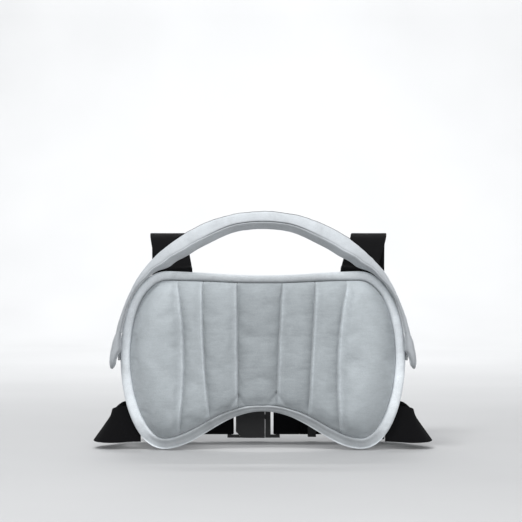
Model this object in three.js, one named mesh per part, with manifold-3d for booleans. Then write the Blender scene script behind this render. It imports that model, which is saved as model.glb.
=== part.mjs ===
// Child-seat head support: a butterfly-shaped head cushion of seven sewn channels, a padded half-ring
// head band that swings down over the forehead, and a harness of webbing that ties it to a headrest.
// Millimetres. +X is the right of somebody facing the cushion, +Y points back into the seat and +Z
// is up. The origin is the centre of the flat back panel, level with the ends of the band.

import * as THREE from 'three';
import { mergeVertices } from 'three/addons/utils/BufferGeometryUtils.js';
import Module from 'manifold-3d';

const wasm = await Module();
wasm.setup();

// ---------- driving dimensions ----------

const GAP = 0.3; // air left between two pieces that touch

// Right half of the cushion's outline, from the top centre round the wing to the bottom centre.
const HALF_OUTLINE = [
  [[0, 91.2], [40, 91.2], [70, 95.5], [101, 95.5]],
  [[101, 95.5], [133, 95.5], [150, 45], [150, 5]],
  [[150, 5], [150, -45], [132, -91.5], [104, -91.5]],
  [[104, -91.5], [68, -91.5], [45, -52], [0, -52]],
];
const CURVE_STEPS = 7; // straight pieces in each outline curve
const CUSHION_SIDE = 150; // half the cushion's width

const BACK_THICKNESS = 1.6;
const COVER_THICKNESS = 1.8;
const ROLL_WIDTH = 11; // padded roll round the cushion's edge
const ROLL_FRONT = -13;
const ROLL_BACK = -BACK_THICKNESS - GAP;
const PANEL_INSET = ROLL_WIDTH + 3 * GAP;
const PANEL_BACK = -BACK_THICKNESS - GAP;
const FILLING_SLACK = 1.6; // the filling stands this far inside its cover
const PANEL_EDGE_DEPTH = 9; // depth of a channel where it meets the roll
const CHANNEL_FULLNESS = 2.6; // how square a channel stands between its seams
const COVER_HOLLOW = 3; // the hollow of a cover starts this far in front of its back edge

// Seams between the channels, left to right: where each one runs at the top, the middle and the bottom.
const SEAM_REACH = 75;
const SEAMS = [
  { top: -88, middle: -84, bottom: -88, depth: 23 },
  { top: -62, middle: -61, bottom: -56, depth: 18.5 },
  { top: -27, middle: -26.5, bottom: -26.5, depth: 14.5 },
  { top: 19, middle: 16.5, bottom: 15, depth: 14.5 },
  { top: 53.5, middle: 51.5, bottom: 48, depth: 18.5 },
  { top: 86, middle: 80, bottom: 80.5, depth: 23 },
];
const CHANNELS = [
  { name: 'wing_left', front: 36 },
  { name: 'outer_left', front: 28.5 },
  { name: 'inner_left', front: 23.5 },
  { name: 'center', front: 19 },
  { name: 'inner_right', front: 23.5 },
  { name: 'outer_right', front: 28.5 },
  { name: 'wing_right', front: 36 },
];
const COVER_GRID = { columns: 6, rows: 8 };
const FILLING_GRID = { columns: 4, rows: 5 };

// The band is a half ring about the X-Z origin: a thick padded roll that leans back at the crown, and a
// thin strip that stands on edge beside the cushion. Angles are degrees above level.
const BAND_WIDTH = 26;
const BAND_CENTRE_Y = -18.5;
const BAND_CROWN = { radius: 160, thickness: 15, lean: 15 };
const BAND_SIDE = { radius: 157, thickness: 4.5, lean: 0 };
const BAND_SPREAD = { from: 20, to: 48 }; // where the outer radius grows from the side's to the crown's
const BAND_BLEND = { from: 34, to: 47 }; // where the side's section becomes the crown's
const BAND_START = 11.5; // where the strip passes into the end tabs
const BAND_STEPS = 40;
const BAND_COVER = 1.6;
const BAND_CHAMFER = 0.28; // of the band's thickness
const ELASTIC = { width: 7, thickness: 0.9, start: 50, steps: 24 };

// End tab, from its top to its tip: height, inner and outer face (both from the middle), half width.
const TAB_STATIONS = [
  { z: 30.2, inner: 149.6, outer: 153.9, half: 13 },
  { z: 20.6, inner: 152.7, outer: 157.4, half: 13 },
  { z: 10, inner: 152.8, outer: 159.3, half: 13 },
  { z: 3, inner: 153.4, outer: 159.9, half: 12 },
  { z: -2, inner: 155, outer: 160, half: 9.5 },
  { z: -5, inner: 156.6, outer: 159.6, half: 6 },
  { z: -6.5, inner: 157.6, outer: 159, half: 3 },
];
const TAB_CHAMFER = 0.3; // of the tab's thickness
const PATCH = { thickness: 0.9, width: 8, bottom: 2, top: 20, y: -9 };

// Webbing harness.
const WEB_WIDTH = 38;
const WEB_THICKNESS = 1.6;
const TAIL_THICKNESS = 1.2;
const SEAM_PLANE_Y = -2.8; // webbing ends are sewn in between the roll and the back panel
const TOP_STRAPS = [
  { side: 'left', rootX: -93.5, topX: -103 },
  { side: 'right', rootX: 101, topX: 115 },
];
const STRAP_ROOT_Z = 96.4; // where an upper strap comes out of the top seam
const STRAP_CREST = { y: 52, z: 136 };
const REAR_Y = 85; // plane of the upper straps behind the seat
const BELT_Y = REAR_Y + 3.2;
const TAIL_Y = REAR_Y + 6.2;
const TAIL_INNER_Y = REAR_Y + 1.9; // the tail's end, folded in behind the slider's lower bar
const TAIL_LAP = 22; // how far the folded end reaches below the slider's middle
const BELT_Z = -65.5;
const BELT_STEPS = 36;
const TOP_STRAP_STEPS = 40;
const WRAP_STEPS = 6;
const LOOP_JOIN_Z = -30;
const SLIDER_Z = 30;
const SLIDER = { halfHeight: 15, railInner: 20, railOuter: 24, railFront: -3.8, railBack: 6 };
// The slider's bars, each from [y, z] to [y, z] about the middle of the slider.
const SLIDER_BARS = [
  { from: [1.2, 9], to: [3.6, 14.2] },
  { from: [-3.6, -3], to: [-1.2, 3] },
  { from: [2.9, -14.2], to: [5.1, -9] },
];
const SLIDER_LOWER_BAR = SLIDER_BARS[2];

// Side-release buckle in the middle of the belt. Its own middle is the centre of the socket's mouth.
const BUCKLE = { halfHeight: 23, halfThickness: 5, length: 32, wall: 1.7, mouth: 2.3, corner: 7 };
const BAR_HALF = 2.1; // half the thickness of a bar that webbing goes round
const RAIL_INNER = 19.6;
const SOCKET_BAR = { x: -37, wrap: 4.2 };
const PLUG_BAR = { x: 16.6, wrap: 4.2 };
const PLUG_BASE = { end: 8.6, halfThickness: 3.1 };
const GUIDE_PIN = { tip: -19, halfThickness: 1.8, halfHeight: 2.6 };
const BARB = { start: -18, end: -8, outer: 22.8 };
// Upper prong, from its root round the barb to its tip: [x, height above the buckle's middle].
const PRONG_OUTLINE = [
  [1.9, 9], [1.9, 13], [BARB.end, 17.5], [BARB.end, BARB.outer], [BARB.end - 3, BARB.outer],
  [BARB.start, 17], [BARB.start - 2, 14], [BARB.start, 12.6], [-9, 11.5], [-4, 9],
];
const BELT_JOIN_X = 40;
const BELT_TAIL_END_X = 84;
const KEEPER = { x: 54, width: 9, wall: 2.2, clearance: 0.45 };

// ---------- colours and finishes ----------

const finish = (color, roughness) => new THREE.MeshStandardMaterial({ color, roughness, metalness: 0 });
const plush = (color) => finish(color, 0.95);
const webbing = () => finish(0x0b0b0c, 0.85);
const plastic = () => finish(0x141416, 0.45);
const foam = () => finish(0xe9e4cf, 0.9);
const knit = () => finish(0x8d9499, 0.95);
const hookTape = () => finish(0x9aa2a6, 0.8);

const GREY_PANEL = 0xaeb7bb;
const GREY_ROLL = 0xbcc5c9;
const GREY_BAND = 0xb4bcc0;

// ---------- solids and booleans ----------

function toSolid(geometry) {
  const bare = geometry.clone();
  bare.deleteAttribute('normal');
  bare.deleteAttribute('uv');
  const merged = mergeVertices(bare, 1e-4);
  return new wasm.Manifold(new wasm.Mesh({
    numProp: 3,
    vertProperties: new Float32Array(merged.attributes.position.array),
    triVerts: new Uint32Array(merged.index.array),
  }));
}

function toGeometry(solid) {
  const mesh = solid.getMesh();
  const geometry = new THREE.BufferGeometry();
  geometry.setAttribute('position', new THREE.BufferAttribute(new Float32Array(mesh.vertProperties), 3));
  geometry.setIndex(new THREE.BufferAttribute(new Uint32Array(mesh.triVerts), 1));
  return geometry;
}

function cut(body, ...tools) {
  const left = tools.reduce((rest, tool) => rest.subtract(toSolid(tool)), toSolid(body));
  return toGeometry(left);
}

function join(...parts) {
  return toGeometry(parts.map(toSolid).reduce((whole, part) => whole.add(part)));
}

function box(low, high) {
  const size = high.map((value, axis) => value - low[axis]);
  const geometry = new THREE.BoxGeometry(...size);
  return geometry.translate(...low.map((value, axis) => value + size[axis] / 2));
}

// A flat plate whose outline is drawn in X and Z.
function plate(points, front, back) {
  const shape = new THREE.Shape(points.map(([x, z]) => new THREE.Vector2(x, z)));
  const geometry = new THREE.ExtrudeGeometry(shape, { depth: back - front, bevelEnabled: false });
  return geometry.rotateX(Math.PI / 2).translate(0, back, 0);
}

function signedVolume(vertices, faces) {
  return faces.reduce((sum, [a, b, c]) => {
    const cross = new THREE.Vector3().crossVectors(vertices[b], vertices[c]);
    return sum + vertices[a].dot(cross) / 6;
  }, 0);
}

function facesToGeometry(vertices, faces) {
  const outward = signedVolume(vertices, faces) > 0;
  const order = outward ? faces : faces.map(([a, b, c]) => [a, c, b]);
  const geometry = new THREE.BufferGeometry();
  const numbers = vertices.flatMap((vertex) => vertex.toArray());
  geometry.setAttribute('position', new THREE.Float32BufferAttribute(numbers, 3));
  geometry.setIndex(order.flat());
  return geometry;
}

// Two triangles between four corners, split along the shorter diagonal so that parallel skins match.
function quad(vertices, [a, b, c, d]) {
  const across = vertices[a].distanceTo(vertices[c]);
  const other = vertices[b].distanceTo(vertices[d]);
  return across < other - 1e-6 ? [[a, b, c], [a, c, d]] : [[a, b, d], [b, c, d]];
}

// The side walls between each ring of points and the next.
function walls(rings, spans) {
  const count = rings[0].length;
  const vertices = rings.flat();
  const faces = [];
  for (let ring = 0; ring < spans; ring += 1) {
    const here = ring * count;
    const there = ((ring + 1) % rings.length) * count;
    for (let point = 0; point < count; point += 1) {
      const next = (point + 1) % count;
      faces.push(...quad(vertices, [here + point, here + next, there + next, there + point]));
    }
  }
  return faces;
}

// Joins equal rings of points into one closed body. A loop has no ends; otherwise `section`, the ring
// drawn flat, tells how the two ends are filled.
function loft(rings, section = null) {
  const count = rings[0].length;
  const faces = walls(rings, section ? rings.length - 1 : rings.length);
  if (section) {
    const flat = section.map(([a, b]) => new THREE.Vector2(a, b));
    const last = (rings.length - 1) * count;
    const clockwise = THREE.ShapeUtils.isClockWise(flat);
    for (const [a, b, c] of THREE.ShapeUtils.triangulateShape(flat, [])) {
      const follows = THREE.ShapeUtils.isClockWise([flat[a], flat[b], flat[c]]) === clockwise;
      const [second, third] = follows ? [b, c] : [c, b];
      faces.push([a, third, second]);
      faces.push([last + a, last + second, last + third]);
    }
  }
  return facesToGeometry(rings.flat(), faces);
}

// ---------- the cushion ----------

function halfOutline() {
  const points = HALF_OUTLINE.flatMap((corners) => {
    const curve = new THREE.CubicBezierCurve(...corners.map(([x, z]) => new THREE.Vector2(x, z)));
    return curve.getPoints(CURVE_STEPS).slice(0, -1);
  });
  const [lastX, lastZ] = HALF_OUTLINE.at(-1).at(-1);
  return [...points, new THREE.Vector2(lastX, lastZ)];
}

// The whole outline, clockwise from the top centre, moved inwards by `inset`.
function outline(inset = 0) {
  const half = halfOutline();
  const mirrored = half.slice(1, -1).reverse().map((point) => new THREE.Vector2(-point.x, point.y));
  const whole = [...half, ...mirrored];
  return whole.map((point, index) => {
    const before = whole.at(index - 1);
    const after = whole[(index + 1) % whole.length];
    const along = after.clone().sub(before).normalize();
    return [point.x + along.y * inset, point.y - along.x * inset];
  });
}

// Where a closed outline crosses the line on which coordinate `axis` equals `value`.
function crossings(points, axis, value) {
  const other = 1 - axis;
  const found = [];
  points.forEach((point, index) => {
    const next = points[(index + 1) % points.length];
    const from = point[axis] - value;
    const to = next[axis] - value;
    if (from * to <= 0 && from !== to) {
      found.push(point[other] + (next[other] - point[other]) * (from / (from - to)));
    }
  });
  return found;
}

const seamX = (seam, z) => {
  const t = THREE.MathUtils.clamp(z / SEAM_REACH, -1.1, 1.1);
  const bend = (seam.top + seam.bottom) / 2 - seam.middle;
  return seam.middle + ((seam.top - seam.bottom) / 2) * t + bend * t * t;
};

// One channel as a closed body. `skin` shrinks it on every side but the back, which lies at `back`.
function channelSolid(index, skin, back, grid) {
  const edge = outline(PANEL_INSET + skin);
  const left = SEAMS[index - 1];
  const right = SEAMS[index];
  const inset = GAP / 2 + skin;
  const isWing = !(left && right);
  const side = left ? 1 : -1;
  const sideEdge = edge.filter(([x]) => x * side > Math.abs(seamX(left ?? right, 0)));
  const wingTop = isWing && Math.max(...sideEdge.map(([, z]) => z)) - 0.4;
  const wingBottom = isWing && Math.min(...sideEdge.map(([, z]) => z)) + 0.6;

  const pointAt = (u, v) => {
    if (isWing) {
      const z = THREE.MathUtils.lerp(wingBottom, wingTop, v);
      const reach = crossings(edge, 1, z).map((x) => x * side).sort((a, b) => a - b);
      const seamReach = seamX(left ?? right, z) * side + inset;
      const near = side * Math.max(seamReach, ...reach.slice(0, -1));
      const far = side * reach.at(-1);
      return [left ? THREE.MathUtils.lerp(near, far, u) : THREE.MathUtils.lerp(far, near, u), z];
    }
    let z = THREE.MathUtils.lerp(-60, 80, v);
    let x = 0;
    for (let pass = 0; pass < 6; pass += 1) {
      x = THREE.MathUtils.lerp(seamX(left, z) + inset, seamX(right, z) - inset, u);
      const ends = crossings(edge, 0, x);
      z = THREE.MathUtils.lerp(Math.min(...ends), Math.max(...ends), v);
    }
    return [x, z];
  };

  const depthAt = (u, v) => {
    const from = left ? left.depth : PANEL_EDGE_DEPTH;
    const to = right ? right.depth : PANEL_EDGE_DEPTH;
    const rise = CHANNELS[index].front - (from + to) / 2;
    const bulge = 1 - Math.abs(2 * u - 1) ** CHANNEL_FULLNESS;
    const across = THREE.MathUtils.lerp(from, to, u) + rise * bulge;
    const along = (1 - Math.abs(2 * v - 1) ** 5) ** 0.6;
    return PANEL_EDGE_DEPTH + (across - PANEL_EDGE_DEPTH) * along - skin;
  };

  const corners = [];
  const eased = (step, steps) => (1 - Math.cos((Math.PI * step) / steps)) / 2;
  for (let row = 0; row <= grid.rows; row += 1) {
    const v = eased(row, grid.rows);
    const across = [];
    for (let column = 0; column <= grid.columns; column += 1) {
      const u = eased(column, grid.columns);
      across.push({ place: pointAt(u, v), depth: depthAt(u, v) });
    }
    corners.push(across);
  }
  return boxUnderSurface(corners, back);
}

// Closes a grid of front points into a body with a flat back.
function boxUnderSurface(corners, back) {
  const rings = corners.map((row) => {
    const front = row.map(({ place: [x, z], depth }) => new THREE.Vector3(x, -depth, z));
    const rear = row.map(({ place: [x, z] }) => new THREE.Vector3(x, back, z)).reverse();
    return [...front, ...rear];
  });
  const count = rings[0].length;
  const columns = corners[0].length;
  const faces = walls(rings, rings.length - 1);
  const last = (rings.length - 1) * count;
  for (let column = 0; column < columns - 1; column += 1) {
    const rear = count - 1 - column;
    faces.push([column, rear, column + 1], [column + 1, rear, rear - 1]);
    faces.push([last + column, last + column + 1, last + rear]);
    faces.push([last + column + 1, last + rear - 1, last + rear]);
  }
  return facesToGeometry(rings.flat(), faces);
}

// The cover of a channel is a hollow shell.
function channelCover(index) {
  const inside = channelSolid(index, COVER_THICKNESS, PANEL_BACK + COVER_HOLLOW, COVER_GRID);
  return cut(channelSolid(index, 0, PANEL_BACK, COVER_GRID), inside);
}

function channelFilling(index) {
  return channelSolid(index, COVER_THICKNESS + FILLING_SLACK, PANEL_BACK, FILLING_GRID);
}

const backPanel = () => plate(outline(), -BACK_THICKNESS, 0);

// The padded roll follows the outline, with a notch wherever a webbing end is sewn in behind it.
function edgeRoll(notches) {
  const sides = 8;
  const middle = outline(ROLL_WIDTH / 2);
  const outer = outline();
  const centreY = (ROLL_FRONT + ROLL_BACK) / 2;
  const halfDepth = (ROLL_BACK - ROLL_FRONT) / 2;
  const rings = middle.map(([x, z], index) => {
    const outward = new THREE.Vector2(outer[index][0] - x, outer[index][1] - z).normalize();
    const ring = [];
    for (let side = 0; side < sides; side += 1) {
      const angle = (2 * Math.PI * side) / sides;
      const across = (ROLL_WIDTH / 2) * Math.cos(angle);
      const y = centreY + halfDepth * Math.sin(angle);
      ring.push(new THREE.Vector3(x + outward.x * across, y, z + outward.y * across));
    }
    return ring;
  });
  return cut(loft(rings), ...notches);
}

// A flat piece of tape that stands beside the cushion, its inner face at `near` from the middle.
function sidePatch(sign, near) {
  const far = near + PATCH.thickness;
  return box(
    [Math.min(sign * near, sign * far), PATCH.y - PATCH.width / 2, PATCH.bottom],
    [Math.max(sign * near, sign * far), PATCH.y + PATCH.width / 2, PATCH.top],
  );
}

// Loop tape on the side of the roll, where the band's tab is pressed on.
const loopPatch = (sign) => sidePatch(sign, CUSHION_SIDE + GAP);

// ---------- the head band ----------

const radians = THREE.MathUtils.degToRad;

function bandSectionAt(angle) {
  const above = Math.min(angle, 180 - angle);
  const share = THREE.MathUtils.smoothstep(above, BAND_BLEND.from, BAND_BLEND.to);
  const spread = THREE.MathUtils.smoothstep(above, BAND_SPREAD.from, BAND_SPREAD.to);
  const thickness = THREE.MathUtils.lerp(BAND_SIDE.thickness, BAND_CROWN.thickness, share);
  const lean = radians(THREE.MathUtils.lerp(BAND_SIDE.lean, BAND_CROWN.lean, share));
  const outer = THREE.MathUtils.lerp(BAND_SIDE.radius, BAND_CROWN.radius, spread);
  const reach = (BAND_WIDTH / 2) * Math.sin(lean) + (thickness / 2) * Math.cos(lean);
  return { thickness, lean, radius: outer - reach };
}

// Sweeps a section along the half ring. The section is drawn by `draw(thickness)` as points of
// [towards the back, outwards] about the middle of the strip.
function bandSweep(draw, start = BAND_START, steps = BAND_STEPS) {
  const rings = [];
  for (let step = 0; step <= steps; step += 1) {
    const angle = start + ((180 - 2 * start) * step) / steps;
    const { thickness, lean, radius } = bandSectionAt(angle);
    const outward = new THREE.Vector3(Math.cos(radians(angle)), 0, Math.sin(radians(angle)));
    const back = new THREE.Vector3(0, 1, 0);
    const [sine, cosine] = [Math.sin(lean), Math.cos(lean)];
    const widthwise = back.clone().multiplyScalar(cosine).addScaledVector(outward, -sine);
    const upwards = outward.clone().multiplyScalar(cosine).addScaledVector(back, sine);
    const centre = outward.clone().multiplyScalar(radius);
    centre.y += BAND_CENTRE_Y;
    rings.push(draw(thickness).map(([along, up]) => (
      centre.clone().addScaledVector(widthwise, along).addScaledVector(upwards, up)
    )));
  }
  return loft(rings, draw(bandSectionAt(start).thickness));
}

// Outer skin: a channel section whose two lips turn down over the filling.
function bandOuterSection(thickness) {
  const half = BAND_WIDTH / 2;
  const top = thickness / 2;
  const chamfer = thickness * BAND_CHAMFER;
  const lip = -thickness / 2 + BAND_COVER + GAP;
  return [
    [-half, lip], [-half + BAND_COVER, lip], [-half + BAND_COVER, top - chamfer],
    [-half + chamfer + BAND_COVER, top - BAND_COVER], [half - chamfer - BAND_COVER, top - BAND_COVER],
    [half - BAND_COVER, top - chamfer], [half - BAND_COVER, lip], [half, lip],
    [half, top - chamfer], [half - chamfer, top], [-half + chamfer, top], [-half, top - chamfer],
  ];
}

function bandInnerSection(thickness) {
  const half = BAND_WIDTH / 2;
  const bottom = -thickness / 2;
  const bevel = 0.6;
  return [
    [-half, bottom + bevel], [-half + 2 * bevel, bottom],
    [half - 2 * bevel, bottom], [half, bottom + bevel],
    [half, bottom + BAND_COVER], [-half, bottom + BAND_COVER],
  ];
}

function bandFoamSection(thickness) {
  const half = BAND_WIDTH / 2 - BAND_COVER - GAP;
  const top = thickness / 2 - BAND_COVER - GAP;
  const chamfer = thickness * BAND_CHAMFER;
  const shoulder = top - Math.min(chamfer, top);
  return [
    [-half, -top], [half, -top], [half, shoulder],
    [half - chamfer, top], [-half + chamfer, top], [-half, shoulder],
  ];
}

// A thin elastic tape, sewn on the outside just behind the front edge, keeps the band in its curve.
function bandElasticSection(thickness) {
  const start = -BAND_WIDTH / 2 + thickness * BAND_CHAMFER + 0.4;
  const base = thickness / 2 + 2 * GAP;
  const end = start + ELASTIC.width;
  const top = base + ELASTIC.thickness;
  return [[start, base], [end, base], [end, top], [start, top]];
}

// End tab: a padded leaf on edge beside the cushion, splayed outwards towards its round tip.
function bandTab(sign) {
  const section = ({ inner, outer, half }) => {
    const round = (outer - inner) * TAB_CHAMFER;
    const [near, far] = [inner + round, outer - round];
    return [
      [near, -half], [far, -half], [outer, -half + round], [outer, half - round],
      [far, half], [near, half], [inner, half - round], [inner, -half + round],
    ];
  };
  const rings = TAB_STATIONS.map((station) => section(station).map(([x, y]) => (
    new THREE.Vector3(sign * x, BAND_CENTRE_Y + y, station.z)
  )));
  return loft(rings, section(TAB_STATIONS[0]));
}

// Hook tape between a tab and the loop tape on the cushion's side.
function hookPatch(sign) {
  return sidePatch(sign, CUSHION_SIDE + 2 * GAP + PATCH.thickness);
}

// ---------- the webbing ----------

// A flat strap along `path`, a list of { point, across } where `across` points along its width.
function strap(path, width, thickness) {
  const half = width / 2;
  const rings = path.map(({ point, across }, index) => {
    const before = path[Math.max(index - 1, 0)].point;
    const after = path[Math.min(index + 1, path.length - 1)].point;
    const along = after.clone().sub(before).normalize();
    const normal = new THREE.Vector3().crossVectors(along, across).normalize();
    const widthwise = new THREE.Vector3().crossVectors(normal, along).normalize();
    return [[-1, -1], [1, -1], [1, 1], [-1, 1]].map(([w, t]) => (
      point.clone().addScaledVector(widthwise, w * half).addScaledVector(normal, (t * thickness) / 2)
    ));
  });
  return loft(rings, [[-1, -1], [1, -1], [1, 1], [-1, 1]]);
}

function curveThrough(points) {
  const control = points.map((point) => new THREE.Vector3(...point));
  return new THREE.CatmullRomCurve3(control, false, 'centripetal');
}

// Half a turn in the Y-Z plane, from the front of a bar round its end to the back.
function halfTurn(x, centreY, centreZ, radius, up) {
  const points = [];
  for (let step = 0; step <= WRAP_STEPS; step += 1) {
    const angle = (Math.PI * step) / WRAP_STEPS;
    const z = centreZ + (up ? 1 : -1) * radius * Math.sin(angle);
    points.push(new THREE.Vector3(x, centreY - radius * Math.cos(angle), z));
  }
  return points;
}

// Upper strap: out of the top seam, back over the headrest, down behind it and round the belt. On its
// way up to the crest it leans evenly from its root towards its place on the headrest.
function topStrapPath({ rootX, topX }) {
  const leaning = (y, z) => {
    const share = (z - STRAP_ROOT_Z) / (STRAP_CREST.z - STRAP_ROOT_Z);
    return [THREE.MathUtils.lerp(rootX, topX, Math.max(share, 0)), y, z];
  };
  const over = curveThrough([
    leaning(SEAM_PLANE_Y, 84.5),
    leaning(SEAM_PLANE_Y, 91.5),
    leaning(SEAM_PLANE_Y, STRAP_ROOT_Z),
    leaning(-0.6, 98.6),
    leaning(5, 101.3),
    leaning(12, 107),
    leaning(22, 119),
    leaning(36, 132),
    leaning(STRAP_CREST.y, STRAP_CREST.z),
    [topX, 72, 133],
    [topX, 82, 122],
    [topX, REAR_Y, 104],
    [topX, REAR_Y, 80],
  ]).getSpacedPoints(TOP_STRAP_STEPS);
  const turnRadius = (TAIL_Y - REAR_Y) / 2;
  const beltBottom = BELT_Z - WEB_WIDTH / 2 - 2;
  const round = halfTurn(topX, REAR_Y + turnRadius, beltBottom, turnRadius, false);
  return [...over, ...round, new THREE.Vector3(topX, TAIL_Y, LOOP_JOIN_Z)];
}

const sideways = (points) => points.map((point) => ({ point, across: new THREE.Vector3(1, 0, 0) }));

// Webbing reaches into the edge seam no deeper than the roll is wide.
const trimAtSeam = (webbed) => cut(webbed, plate(outline(ROLL_WIDTH), ROLL_FRONT, 1));

const topStrap = (place) => trimAtSeam(strap(sideways(topStrapPath(place)), WEB_WIDTH, WEB_THICKNESS));

// The strap's end runs back up from the belt and is sewn round the slider's lower bar.
function topStrapTail({ topX }) {
  const radius = (TAIL_Y - TAIL_INNER_Y) / 2;
  const barTop = SLIDER_Z + SLIDER_LOWER_BAR.to[1] + 0.2;
  const path = [
    new THREE.Vector3(topX, TAIL_INNER_Y, SLIDER_Z - TAIL_LAP),
    ...halfTurn(topX, TAIL_INNER_Y + radius, barTop, radius, true),
    new THREE.Vector3(topX, TAIL_Y, LOOP_JOIN_Z + GAP),
  ];
  return strap(sideways(path), WEB_WIDTH, TAIL_THICKNESS);
}

// Three-bar slider: the strap runs straight through, behind the middle bar and in front of the others.
function topSlider({ topX }) {
  const { halfHeight, railInner, railOuter, railFront, railBack } = SLIDER;
  const rail = (sign) => box(
    [Math.min(sign * railInner, sign * railOuter), railFront, -halfHeight],
    [Math.max(sign * railInner, sign * railOuter), railBack, halfHeight],
  );
  const bars = SLIDER_BARS.map(({ from, to }) => box([-railInner - 1, ...from], [railInner + 1, ...to]));
  return join(rail(-1), rail(1), ...bars).translate(topX, REAR_Y, SLIDER_Z);
}

const UPRIGHT = new THREE.Vector3(0, 0, 1);

// Belt: out of the side seam, round the narrow part of the headrest and across its back. Each station is
// [distance from the middle, y, drop, lean in radians]; the belt's upper edge leans to the inside of
// its turn.
const BELT_STATIONS = [
  [116, SEAM_PLANE_Y, 0, 0],
  [134, SEAM_PLANE_Y, 0, 0],
  [147, SEAM_PLANE_Y, 0.6, 0],
  [158, 1.5, 2, 0.25],
  [166, 8.5, 3.5, 0.5],
  [169.5, 19, 4.2, 0.62],
  [168, 32, 3.8, 0.55],
  [163, 46, 3, 0.35],
  [157.5, 60, 2, 0.15],
  [153, 74, 1.2, 0.03],
  [146, 84.3, 0.6, 0],
  [137, BELT_Y, 0.2, 0],
  [128, BELT_Y, 0, 0],
];

function beltPath(sign, ending) {
  const last = BELT_STATIONS.length - 1;
  const spots = BELT_STATIONS.map(([x, y, drop]) => [sign * x, y, BELT_Z - drop]);
  const smooth = curveThrough(spots).getPoints(BELT_STEPS);
  const path = smooth.map((point, index) => {
    const share = (index / BELT_STEPS) * last;
    const station = Math.min(Math.floor(share), last - 1);
    const [from, to] = [BELT_STATIONS[station][3], BELT_STATIONS[station + 1][3]];
    const lean = THREE.MathUtils.lerp(from, to, share - station);
    const ahead = smooth[Math.min(index + 1, BELT_STEPS)].clone().sub(smooth[Math.max(index - 1, 0)]);
    const inside = UPRIGHT.clone().cross(ahead).normalize().multiplyScalar(sign);
    const upright = UPRIGHT.clone().multiplyScalar(Math.cos(lean));
    return { point, across: upright.addScaledVector(inside, Math.sin(lean)) };
  });
  return [...path, ...ending];
}

const beltPoint = (x, y) => ({ point: new THREE.Vector3(x, y, BELT_Z), across: UPRIGHT });

// Half a turn of webbing round an upright bar at (x, BELT_Y), coming from the side given by `sign`.
function barWrap(x, sign, radius) {
  const path = [];
  for (let step = 0; step <= WRAP_STEPS; step += 1) {
    const angle = (Math.PI * step) / WRAP_STEPS;
    path.push(beltPoint(x - sign * radius * Math.sin(angle), BELT_Y - radius * Math.cos(angle)));
  }
  return path;
}

// Left belt: its end is folded round the socket's bar and sewn back on itself.
function beltLeft() {
  const front = BELT_Y - SOCKET_BAR.wrap;
  const ending = [
    beltPoint(-80, BELT_Y),
    beltPoint(-64, front),
    beltPoint(-50, front),
    ...barWrap(SOCKET_BAR.x, -1, SOCKET_BAR.wrap),
    beltPoint(-62, BELT_Y + SOCKET_BAR.wrap),
  ];
  return trimAtSeam(strap(beltPath(-1, ending), WEB_WIDTH, WEB_THICKNESS));
}

// Right belt: runs up to where its doubled end begins.
function beltRight() {
  const front = BELT_Y - PLUG_BAR.wrap;
  const ending = [beltPoint(88, BELT_Y), beltPoint(75, front), beltPoint(BELT_JOIN_X + GAP, front)];
  return trimAtSeam(strap(beltPath(1, ending), WEB_WIDTH, WEB_THICKNESS));
}

// The doubled end: round the plug's bar and back outwards as a free tail.
function beltTail() {
  const path = [
    beltPoint(BELT_JOIN_X, BELT_Y - PLUG_BAR.wrap),
    ...barWrap(PLUG_BAR.x, 1, PLUG_BAR.wrap),
    beltPoint(BELT_TAIL_END_X, BELT_Y + PLUG_BAR.wrap),
  ];
  return strap(path, WEB_WIDTH, WEB_THICKNESS);
}

// Keeper: a flat moulded ring round both layers of the belt's end.
function beltKeeper() {
  const { x, width, wall, clearance } = KEEPER;
  const halfDepth = PLUG_BAR.wrap + WEB_THICKNESS / 2 + clearance;
  const halfHeight = WEB_WIDTH / 2 + clearance;
  const ring = (grow, ends) => box(
    [x - width / 2 - ends, BELT_Y - halfDepth - grow, BELT_Z - halfHeight - grow],
    [x + width / 2 + ends, BELT_Y + halfDepth + grow, BELT_Z + halfHeight + grow],
  );
  return cut(ring(wall, 0), ring(0, 1));
}

// ---------- the side-release buckle, drawn about the middle of its mouth ----------

const atBelt = (geometry) => geometry.translate(0, BELT_Y, BELT_Z);

// Two rails and a bar that webbing is threaded round.
function webbingBar(from, barFrom, barTo) {
  const { halfHeight } = BUCKLE;
  const [near, far] = [Math.min(from, barTo), Math.max(from, barTo)];
  const rail = (sign) => box(
    [near, -BAR_HALF, Math.min(sign * RAIL_INNER, sign * halfHeight)],
    [far, BAR_HALF, Math.max(sign * RAIL_INNER, sign * halfHeight)],
  );
  return [rail(-1), rail(1), box([barFrom, -BAR_HALF, -halfHeight], [barTo, BAR_HALF, halfHeight])];
}

function buckleSocket() {
  const { halfHeight, halfThickness, length, wall, mouth, corner } = BUCKLE;
  const end = mouth - length;
  const profile = [
    [mouth, -halfHeight], [mouth, halfHeight], [end + corner, halfHeight],
    [end, halfHeight - corner], [end, -halfHeight + corner], [end + corner, -halfHeight],
  ];
  const shell = join(
    plate(profile, -halfThickness, halfThickness),
    ...webbingBar(end + corner + 1, SOCKET_BAR.x - BAR_HALF, SOCKET_BAR.x + BAR_HALF),
  );
  const inside = halfThickness - wall;
  const reach = halfHeight + 1;
  const cavity = box([end + 4, -inside, -halfHeight + wall], [mouth + 1, inside, halfHeight - wall]);
  const window = box([BARB.start - 1, -inside, -reach], [BARB.end + 1, inside, reach]);
  return atBelt(cut(shell, cavity, window));
}

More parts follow.
